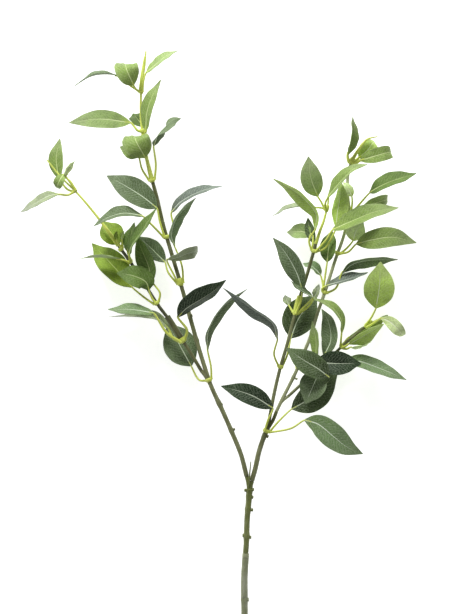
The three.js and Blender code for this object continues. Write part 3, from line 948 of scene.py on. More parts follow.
class FabricKit:
    """The leaf fabrics, one for each tone."""

    # The colours of the root, the face, the tip and the rib; the tip's grey is also the painted sheen
    FABRICS = {
        Tone.NIGHT: LeafFabric((26, 47, 22), (26, 49, 20), (56, 82, 47), (206, 216, 192)),
        Tone.DARK: LeafFabric((39, 53, 26), (70, 91, 47), (117, 138, 93), (206, 218, 190)),
        Tone.SHADE: LeafFabric((71, 99, 35), (101, 131, 56), (100, 126, 64), (190, 206, 144)),
        Tone.DUSK: LeafFabric((84, 106, 61), (96, 117, 75), (118, 135, 100), (216, 230, 200)),
        Tone.STEEL: LeafFabric((73, 82, 58), (98, 110, 98), (141, 155, 141), (206, 216, 200)),
        Tone.GREY: LeafFabric((106, 134, 70), (114, 143, 90), (134, 156, 112), (220, 232, 208)),
        Tone.SAGE: LeafFabric((145, 165, 100), (159, 174, 130), (162, 169, 153), (196, 206, 180)),
        Tone.MOSS: LeafFabric((156, 182, 49), (131, 160, 45), (129, 153, 65), (190, 208, 120)),
        Tone.MID: LeafFabric((145, 171, 77), (136, 164, 80), (161, 178, 127), (202, 218, 152)),
        Tone.FRESH: LeafFabric((154, 182, 84), (152, 180, 106), (172, 187, 140), (208, 222, 164)),
        Tone.LIME: LeafFabric((176, 211, 74), (188, 223, 100), (200, 221, 142), (226, 240, 190)),
        Tone.LIGHT: LeafFabric((207, 230, 119), (232, 254, 178), (226, 248, 184), (240, 248, 216)),
    }

    def __init__(self) -> None:
        """Builds one material for each tone."""
        self._tones = list(self.FABRICS)
        self.materials = [
            self.FABRICS[tone].material(f"leaf_{tone.name.lower()}") for tone in self._tones
        ]

    def slot(self, tone: Tone) -> int:
        """The number of a tone's material on a leaf piece."""
        return self._tones.index(tone)


@dataclass(frozen=True)
class DrawnSteel:
    """Drawn steel wire, bright where it was cut."""

    colour: Colour = (168, 170, 168)
    scratch: Colour = (120, 122, 120)
    scratches: Cloud = Cloud(2600)
    scratch_edges: Range = (0.4, 0.7)
    rough_edges: Range = (0.3, 0.7)
    roughness: Range = (0.28, 0.46)
    relief: float = 0.03
    metal: float = 0.95

    def material(self, name: str) -> bpy.types.Material:
        """Builds the material.

        Args:
            name: the material's name.

        Returns:
            The material.
        """
        board = NodeBoard(name)
        fine = board.noise(board.coordinates(), self.scratches)
        colour = board.blend(board.ramp(fine, self.scratch_edges), paint(self.colour), paint(self.scratch))
        board.wire(colour, board.shader.inputs["Base Color"])
        board.wire(board.ramp(fine, self.rough_edges, self.roughness), board.shader.inputs["Roughness"])
        board.bump(fine, self.relief)
        board.feel(Metallic=self.metal)
        return board.material


@dataclass
class PlasticStem:
    """A moulded plastic stem, with the cut stubs along it and the short rods that fork off it."""

    name: str
    finish: Finish
    rod: Rod
    stubs: tuple[Point, ...] = ()
    forks: tuple[Rod, ...] = ()
    sides: int = 20
    station_step: float = 2.5
    ridge: float = 0.045
    unevenness: float = 0.04
    stub_share: float = 0.55
    stub_sides: int = 14
    node_swell: float = 0.16
    node_reach: float = 2.4
    cut_rounding: float = 0.15
    overrun: float = 0.5

    # The share of a stub's length, and the radius there as a share of the stub's own
    STUB_PROFILE = ((0.0, 1.12), (0.5, 1.0), (0.85, 1.12), (0.94, 1.12), (1.0, 0.9184))

    def line(self, sheet: LayoutSheet) -> SmoothLine:
        """The centre line of the main rod, in millimetres in the frame."""
        return SmoothLine([sheet.place(point) for point in self.rod.line])

    def radius(self, share: float) -> float:
        """The main rod's radius at a share of its length."""
        return mix(*self.rod.radii, share)

    def _joined(self, rod: Rod, sheet: LayoutSheet) -> SmoothLine:
        """A rod's centre line with both ends run on a little, so that the next stem's end meets it.

        Args:
            rod: the rod.
            sheet: where the layout lies.

        Returns:
            The longer line.
        """
        points = [sheet.place(point) for point in rod.line]
        first = (points[0] - points[1]).normalized() * self.overrun
        last = (points[-1] - points[-2]).normalized() * self.overrun
        return SmoothLine([points[0] + first, *points[1:-1], points[-1] + last])

    def _profile(self, line: SmoothLine, radii: Range, nodes: Sequence[float],
                 chance: random.Random) -> list[Range]:
        """The radius along a rod, with its swellings and its rounded ends.

        Args:
            line: the rod's centre line.
            radii: the radius at each end.
            nodes: the places of the swellings, in millimetres along the rod.
            chance: the source of its unevenness.

        Returns:
            Pairs of the share of the length and the radius.
        """
        pairs = []
        for share in evenly(line.length, self.station_step):
            radius = mix(*radii, share) * (1 + self.unevenness * chance.uniform(-0.5, 0.5))
            for node in nodes:
                distance = (share * line.length - node) / self.node_reach
                radius *= 1 + self.node_swell * math.exp(-distance * distance)
            pairs.append((share, radius))
        (_, first), *between, (_, last) = pairs
        bevel = self.cut_rounding / line.length
        opening = [(0.0, first - self.cut_rounding), (bevel, first)]
        closing = [(1 - bevel, last), (1.0, last * (1 - self.cut_rounding))]
        return [*opening, *between, *closing]

    def build(self, sheet: LayoutSheet, kit: PlasticKit) -> bpy.types.Object:
        """Builds the stem's skin and dresses it.

        Args:
            sheet: where the layout lies.
            kit: the plastic materials.

        Returns:
            The new piece.
        """
        chance = random.Random(self.name)
        draft = MeshDraft()
        line = self._joined(self.rod, sheet)
        roots = [line.nearest(sheet.place(stub)) for stub in self.stubs]
        nodes = [root * line.length for root in roots]
        profile = self._profile(line, self.rod.radii, nodes, chance)
        draft.tube(line, profile, self.sides, self.ridge, chance.uniform(0, math.pi))
        for stub, root in zip(self.stubs, roots):
            self._stub(draft, line.point(root), sheet.place(stub), root)
        for fork in self.forks:
            branch = self._joined(fork, sheet)
            run = (line.nearest(branch.point(0)), line.nearest(branch.point(1)))
            draft.tube(branch, self._profile(branch, fork.radii, [], chance), self.sides, self.ridge,
                       chance.uniform(0, math.pi), run)
        piece = draft.piece(f"{self.name}_skin", [kit.material(self.finish)])
        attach(piece, "root")
        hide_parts(self.name)
        return piece

    def _stub(self, draft: MeshDraft, root: Vector, end: Vector, run: float) -> None:
        """Adds a cut stub, a little wider at its cut end.

        Args:
            draft: the mesh that it goes into.
            root: the place on the stem's centre line.
            end: the middle of its cut end.
            run: how much of the stem lies below it.
        """
        radius = self.stub_share * self.rod.radii[0]
        profile = [(share, spread * radius) for share, spread in self.STUB_PROFILE]
        draft.tube(SmoothLine([root, end]), profile, self.stub_sides, run=(run, run))


class LeafPattern:
    """The outline that every blade is cut to."""

    # The share of the midrib's length, and the half width there as a share of the widest
    OUTLINE = ((0, 0.09), (0.12, 0.58), (0.29, 0.92), (0.48, 1), (0.68, 0.8), (0.87, 0.36), (1, 0.03))
    DETAIL = 120

    def __init__(self) -> None:
        """Draws the outline once."""
        curve = SmoothLine([Vector((share, spread, 0)) for share, spread in self.OUTLINE])
        self._curve = [curve.point(step / self.DETAIL).xy for step in range(self.DETAIL + 1)]

    def spread(self, share: float) -> float:
        """The half width at a share of the midrib's length, as a share of the widest.

        Args:
            share: from 0 at the base to 1 at the tip.

        Returns:
            The half width.
        """
        for start, end in zip(self._curve, self._curve[1:]):
            if share <= end.x:
                return mix(start.y, end.y, (share - start.x) / (end.x - start.x))
        return self._curve[-1].y

    def row(self, share: float) -> float:
        """How many of the outline's own points lie before a place on the midrib.

        Args:
            share: from 0 at the base to 1 at the tip.

        Returns:
            The count, with the part of the next span.
        """
        for i, (start, end) in enumerate(zip(self.OUTLINE, self.OUTLINE[1:])):
            if share <= end[0]:
                return i + (share - start[0]) / (end[0] - start[0])
        return len(self.OUTLINE) - 1.0


@dataclass
class Whorl:
    """A moulded collar on a stem, with the stalks that grow from it and the fabric leaves on them."""

    name: str
    on: str
    at: tuple[float, float]
    leaves: tuple[Leaf, ...]
    sheath: float = 0.0
    bore_clearance: float = 0.3
    collar_wall: float = 1.0
    collar_half_height: float = 2.0
    collar_sides: int = 24
    collar_ridge: float = 0.05
    stalk_sides: int = 10
    stalk_radius: float = 1.1
    stalk_tip_radius: float = 0.75
    stalk_flare: float = 0.5
    stalk_flare_reach: float = 1.5
    stalk_step: float = 1.6
    stalk_under_blade: float = 0.1
    stalk_below_blade: float = 0.5
    blade_rows: int = 38
    blade_columns: int = 12
    blade_thickness: float = 0.36
    tip_half_width: float = 0.16
    fold_fullness: float = 0.35
    wave: float = 0.5
    wave_along: float = 2.1
    wave_across: float = 1.3
    rows_before_blade: int = 3
    frill: float = 0.35
    frill_turns: float = 3.2
    midrib_dip: float = 0.22
    midrib_half_width: float = 0.12

    # The share of the collar's length, and the radius there as a share of the widest
    COLLAR_PROFILE = (
        (0.0, 0.7), (0.05, 0.8), (0.25, 0.93), (0.5, 1.0), (0.75, 0.97), (0.93, 0.88), (1.0, 0.76),
    )

    def build(self, sheet: LayoutSheet, stem: PlasticStem, pattern: LeafPattern, plastics: PlasticKit,
              fabrics: FabricKit) -> list[bpy.types.Object]:
        """Builds the collar with its stalks, and the leaves.

        Args:
            sheet: where the layout lies.
            stem: the stem that the collar is threaded on.
            pattern: the outline of a blade.
            plastics: the plastic materials.
            fabrics: the leaf materials.

        Returns:
            The two new pieces.
        """
        line = stem.line(sheet)
        share = line.nearest(sheet.place((*self.at, 0)))
        bore = stem.radius(share) + self.bore_clearance
        centre, heading = line.point(share), line.heading(share)
        stalks = MeshDraft()
        self._collar(stalks, centre, heading, bore)
        blades = MeshDraft()
        for i, leaf in enumerate(self.leaves):
            rib = SmoothLine([sheet.place(point) for point in leaf.rib])
            outward = sheet.place(leaf.stalk[0]) - centre
            outward = (outward - heading * outward.dot(heading)).normalized()
            root = centre + outward * (bore + self.collar_wall / 2)
            self._stalk(stalks, [root, *map(sheet.place, leaf.stalk)], leaf, rib)
            self._blade(blades, leaf, rib, pattern, self.at[0] + i, fabrics.slot(leaf.tone))
        pieces = [
            stalks.piece(f"{self.name}_stalks", [plastics.material(Finish.LEADER)]),
            blades.piece(f"{self.name}_leaves", fabrics.materials),
        ]
        for piece, slot in zip(pieces, (PLASTIC_SLOTS[Finish.LEADER], FABRIC_SLOT)):
            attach(piece, "root")
            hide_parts(self.name)
        return pieces

    def _collar(self, draft: MeshDraft, centre: Vector, heading: Vector, bore: float) -> None:
        """Adds the collar, a short sleeve that is widest in the middle.

        Args:
            draft: the mesh that it goes into.
            centre: its place on the stem.
            heading: the stem's direction there.
            bore: the radius of the hole through it.
        """
        widest = bore + self.collar_wall
        half = self.collar_half_height
        top = half + self.sheath
        line = SmoothLine([centre - heading * half, centre, centre + heading * top])
        profile = [(share, spread * widest) for share, spread in self.COLLAR_PROFILE]
        draft.tube(line, profile, self.collar_sides, self.collar_ridge)

    def _stalk(self, draft: MeshDraft, points: list[Vector], leaf: Leaf, rib: SmoothLine) -> None:
        """Adds a stalk, which ends glued to the underside of the blade.

        Args:
            draft: the mesh that it goes into.
            points: from the collar's wall to just before the blade.
            leaf: the leaf's roll.
            rib: the leaf's midrib.
        """
        under = []
        for share in (0.0, self.stalk_under_blade / 2, self.stalk_under_blade):
            centre, _, normal = self._stance(leaf, rib, share)
            under.append(centre - normal * self.stalk_below_blade)
        line = SmoothLine([*points, *under])
        profile = []
        for share in evenly(line.length, self.stalk_step):
            flare = self.stalk_flare * math.exp(-share * line.length / self.stalk_flare_reach)
            radius = mix(self.stalk_radius, self.stalk_tip_radius, share ** 2)
            profile.append((share, radius * (1 + flare)))
        draft.tube(line, profile, self.stalk_sides)

    def _blade(self, draft: MeshDraft, leaf: Leaf, rib: SmoothLine, pattern: LeafPattern,
               phase: float, slot: int) -> None:
        """Adds one fabric blade, folded up along its midrib and waved along its edges.

        Args:
            draft: the mesh that it goes into.
            leaf: its width, roll and fold.
            rib: its midrib.
            pattern: the outline of a blade.
            phase: where its waves start, which is also what sets its print apart.
            slot: its material slot.
        """
        upper: list[Vector] = []
        lower: list[Vector] = []
        blade: list[Vector] = []
        cloth: list[Vector] = []
        for row in range(self.blade_rows + 1):
            share = row / self.blade_rows
            centre, side, normal = self._stance(leaf, rib, share)
            spread = pattern.spread(share)
            half = max(self.tip_half_width, spread * leaf.width / 2)
            for column in range(self.blade_columns + 1):
                across = 1 - 2 * column / self.blade_columns
                lift = self._lift(leaf, share, across, half, phase, pattern)
                point = centre + side * (across * half) + normal * lift
                skin = normal * (self.blade_thickness / 2)
                upper.append(raised(point + skin, self.blade_thickness))
                lower.append(raised(point - skin, 0))
                blade.append(Vector((share, across, phase)))
                cloth.append(Vector((share * rib.length, across * half, 0)))
        draft.sheet(upper, lower, self.blade_columns + 1, slot)
        backs = [note + Vector((0, 0, 1)) for note in cloth]
        draft.notes.setdefault("blade", []).extend([*blade, *blade])
        draft.notes.setdefault("cloth", []).extend([*cloth, *backs])

    @staticmethod
    def _stance(leaf: Leaf, rib: SmoothLine, share: float) -> tuple[Vector, Vector, Vector]:
        """How a blade stands at one place along its midrib.

        Args:
            leaf: the leaf's roll.
            rib: its midrib.
            share: the share of the midrib's length.

        Returns:
            The midrib's point, the way across the blade to its left edge, and the way up off its face.
        """
        heading = rib.heading(share)
        level = Vector((0, 0, 1)).cross(heading).normalized()
        rise = heading.cross(level)
        roll = math.radians(mix(*leaf.roll, share))
        side = level * math.cos(roll) + rise * math.sin(roll)
        return rib.point(share), side, heading.cross(side)

    def _lift(self, leaf: Leaf, share: float, across: float, half: float, phase: float,
              pattern: LeafPattern) -> float:
        """How far a point of the blade stands off the plane through its midrib.

        Args:
            leaf: the leaf's fold.
            share: its share of the midrib's length.
            across: from -1 to 1 across the blade.
            half: the half width there, in millimetres.
            phase: where the waves start.
            pattern: the outline of a blade.

        Returns:
            The distance in millimetres.
        """
        aside = abs(across)
        spread = pattern.spread(share)
        row = self.rows_before_blade + pattern.row(share)
        full = aside + self.fold_fullness * aside * (1 - aside)
        folded = full * half * math.tan(math.radians(leaf.fold))
        wave = self.wave * aside * math.sin(phase + self.wave_along * row + self.wave_across * across)
        ripple = math.sin(2 * math.pi * self.frill_turns * share + phase + across)
        frill = self.frill * aside ** 3 * ripple
        dip = self.midrib_dip * math.exp(-(aside / self.midrib_half_width) ** 2) * (1 - share)
        return spread * (folded + wave + frill - dip)


STEMS: tuple[PlasticStem, ...] = (
    PlasticStem(
        name="lower_sleeve", finish=Finish.SLEEVE,
        rod=Rod(radii=(3.3, 3.3), line=((244.8, 684, 2.7), (244.5, 650, 4.4), (244.5, 614, 7.6),
                                        (244.4, 599.2, 9.2))),
        stubs=((248.8, 601, 9.5),),
    ),
    PlasticStem(
        name="upper_sleeve", finish=Finish.SLEEVE,
        rod=Rod(radii=(3.6, 3.3), line=((244.4, 598.7, 9.3), (244.4, 580, 11.6), (245.4, 562, 13.8),
                                        (245.6, 558.6, 14.2))),
    ),
    PlasticStem(
        name="sleeve_ring", finish=Finish.RING,
        rod=Rod(radii=(3.5, 3.3), line=((245.6, 558.2, 14.3), (245.7, 554.6, 14.7))),
    ),
    PlasticStem(
        name="main_stem", finish=Finish.MAIN,
        rod=Rod(radii=(2.8, 3), line=(
            (245.7, 554.2, 14.8), (246.4, 545, 15.8), (247.2, 520, 18.4), (248.8, 502, 20),
            (249.6, 490, 21),
        )),
        stubs=((244.4, 490.5, 22), (254, 490, 22), (253.4, 497.7, 21), (253.2, 510.5, 20),
               (242.4, 536, 17), (251.4, 538, 17)),
        forks=(
            Rod(radii=(2.4, 2), line=((249.4, 493, 20.8), (248.4, 484, 21.6), (246.6, 476.5, 22.2))),
            Rod(radii=(2.6, 2.4), line=((249.6, 493, 20.8), (250.4, 487, 21.4), (251.6, 481.9, 21.8))),
            Rod(radii=(1, 0.5), line=((249.4, 489, 22.4), (249.4, 478, 26.6), (250.8, 462, 29))),
        ),
    ),
    PlasticStem(
        name="left_branch", finish=Finish.BRANCH,
        rod=Rod(radii=(2.4, 1.9), line=(
            (246.4, 475.9, 22.3), (241, 455, 24), (233, 435, 25.6), (222, 410, 27.4), (211, 386, 28.8),
            (203, 362, 30.4), (195, 335, 31.8), (188, 310, 33.2), (181, 285, 34.4), (172, 255, 35.6),
            (163, 224, 36.6), (157, 198, 37.4), (152.2, 180.5, 38),
        )),
        stubs=((217.6, 402.4, 28.4), (222.6, 404, 28.2), (235, 429, 26.6), (192.4, 315.4, 33.4),
               (199.2, 340.4, 31.8)),
        forks=(
            Rod(radii=(1.9, 1.8), line=((211, 386, 28.8), (206, 377, 29.4), (201.4, 370.9, 30.1))),
        ),
    ),
    PlasticStem(
        name="left_leader", finish=Finish.LEADER,
        rod=Rod(radii=(2, 0.8), line=(
            (151.9, 179.8, 38), (147, 160, 38.4), (143, 135, 38.8), (141, 112, 39.2), (141.5, 90, 39.6),
            (145, 65, 40), (146, 52, 40),
        )),
        forks=(
            Rod(radii=(2.4, 1.8), line=((151.6, 178.6, 38), (149, 168, 38.2), (147, 160, 38.4))),
            Rod(radii=(2.7, 1), line=((141.2, 91, 39.6), (142.4, 76, 39.9), (145, 57, 40))),
        ),
    ),
    PlasticStem(
        name="side_branch", finish=Finish.DARK_BRANCH,
        rod=Rod(radii=(1.8, 1.6), line=(
            (201, 370.4, 30.1), (190, 352, 31), (181, 338, 31.4), (170, 321, 31.8), (158, 305, 32),
            (144, 283, 31.8), (133, 266, 31.2), (119, 246.4, 30.4),
        )),
        forks=(
            Rod(radii=(3.2, 2.9), line=((180.6, 337.4, 31.4), (174, 327, 31.7), (167.4, 316.6, 31.9))),
        ),
    ),
    PlasticStem(
        name="side_leader", finish=Finish.LEADER,
        rod=Rod(radii=(1.6, 0.7), line=(
            (118.6, 245.8, 30.4), (108, 231, 29.8), (95, 214, 29.4), (78, 194, 29), (60, 176, 28.6),
            (47, 160, 28.4),
        )),
        forks=(
            Rod(radii=(2.3, 1.6), line=((118, 245, 30.4), (111, 235.2, 29.9), (104, 225.8, 29.6))),
        ),
    ),
    PlasticStem(
        name="right_trunk", finish=Finish.BRANCH,
        rod=Rod(radii=(2.6, 2.4), line=(
            (251.9, 480.6, 22.1), (255, 470, 22.6), (259, 452, 23.6), (264, 437, 24.6),
            (268.6, 426, 25.4),
        )),
        stubs=((268.6, 437, 25.2),),
        forks=(
            Rod(radii=(1.9, 1.8), line=((267.6, 428.4, 25.2), (269.4, 419, 26), (270.8, 411.6, 26.6))),
            Rod(radii=(1.9, 1.8), line=((268, 428.4, 25.2), (273, 420.4, 25.2), (276.4, 411.8, 25))),
        ),
    ),
    PlasticStem(
        name="right_branch_1", finish=Finish.BRANCH,
        rod=Rod(radii=(1.8, 1.7), line=(
            (270.9, 411.1, 26.6), (275, 390, 28), (280, 369, 29), (287, 345, 30), (293, 322, 31),
            (299, 300, 32), (307, 275, 33), (315.6, 244.4, 34.1),
        )),
    ),
    PlasticStem(
        name="right_leader_1", finish=Finish.LEADER,
        rod=Rod(radii=(1.7, 0.7), line=(
            (315.9, 243.6, 34.2), (320, 231, 34.7), (324, 220, 35), (326.8, 208.8, 35.4),
            (328, 203, 35.8), (329, 193, 36.2),
        )),
    ),
    PlasticStem(
        name="right_branch_2", finish=Finish.PALE_BRANCH,
        rod=Rod(radii=(1.8, 1.6), line=(
            (276.6, 411.2, 25), (283, 398, 24.6), (295, 374, 24.4), (303, 355, 24.8), (310, 338, 25.4),
            (318, 312, 26.4), (325, 292, 27.6), (336, 258, 29.4), (344, 235, 30.6), (349, 213, 31.6),
            (347.4, 192, 32.6), (347.8, 176, 33.4), (350, 166, 33.8), (352.2, 160, 34.1),
        )),
        stubs=((297.6, 379.4, 25),),
        forks=(
            Rod(radii=(1.6, 1.5), line=((280.6, 403, 24.6), (284, 399.6, 24.4), (288, 396.6, 24.2))),
        ),
    ),
    PlasticStem(
        name="right_leader_2", finish=Finish.LEADER,
        rod=Rod(radii=(2, 0.5), line=(
            (352.5, 159.4, 34.2), (356.4, 152.8, 35.4), (361.6, 145.4, 37), (367, 139.4, 37.6),
            (377, 136.8, 37.6),
        )),
    ),
    PlasticStem(
        name="right_branch_3", finish=Finish.BRANCH,
        rod=Rod(radii=(1.5, 1.4), line=(
            (288.6, 396.2, 24.2), (303, 383, 24), (320, 368, 24), (341, 347.6, 24.4), (360, 331, 25.4),
            (367.6, 325.4, 26),
        )),
    ),
    PlasticStem(
        name="right_leader_3", finish=Finish.LEADER,
        rod=Rod(radii=(1.2, 0.5), line=((368.2, 325, 26.1), (378, 320, 27.4), (386, 318, 28))),
    ),
)

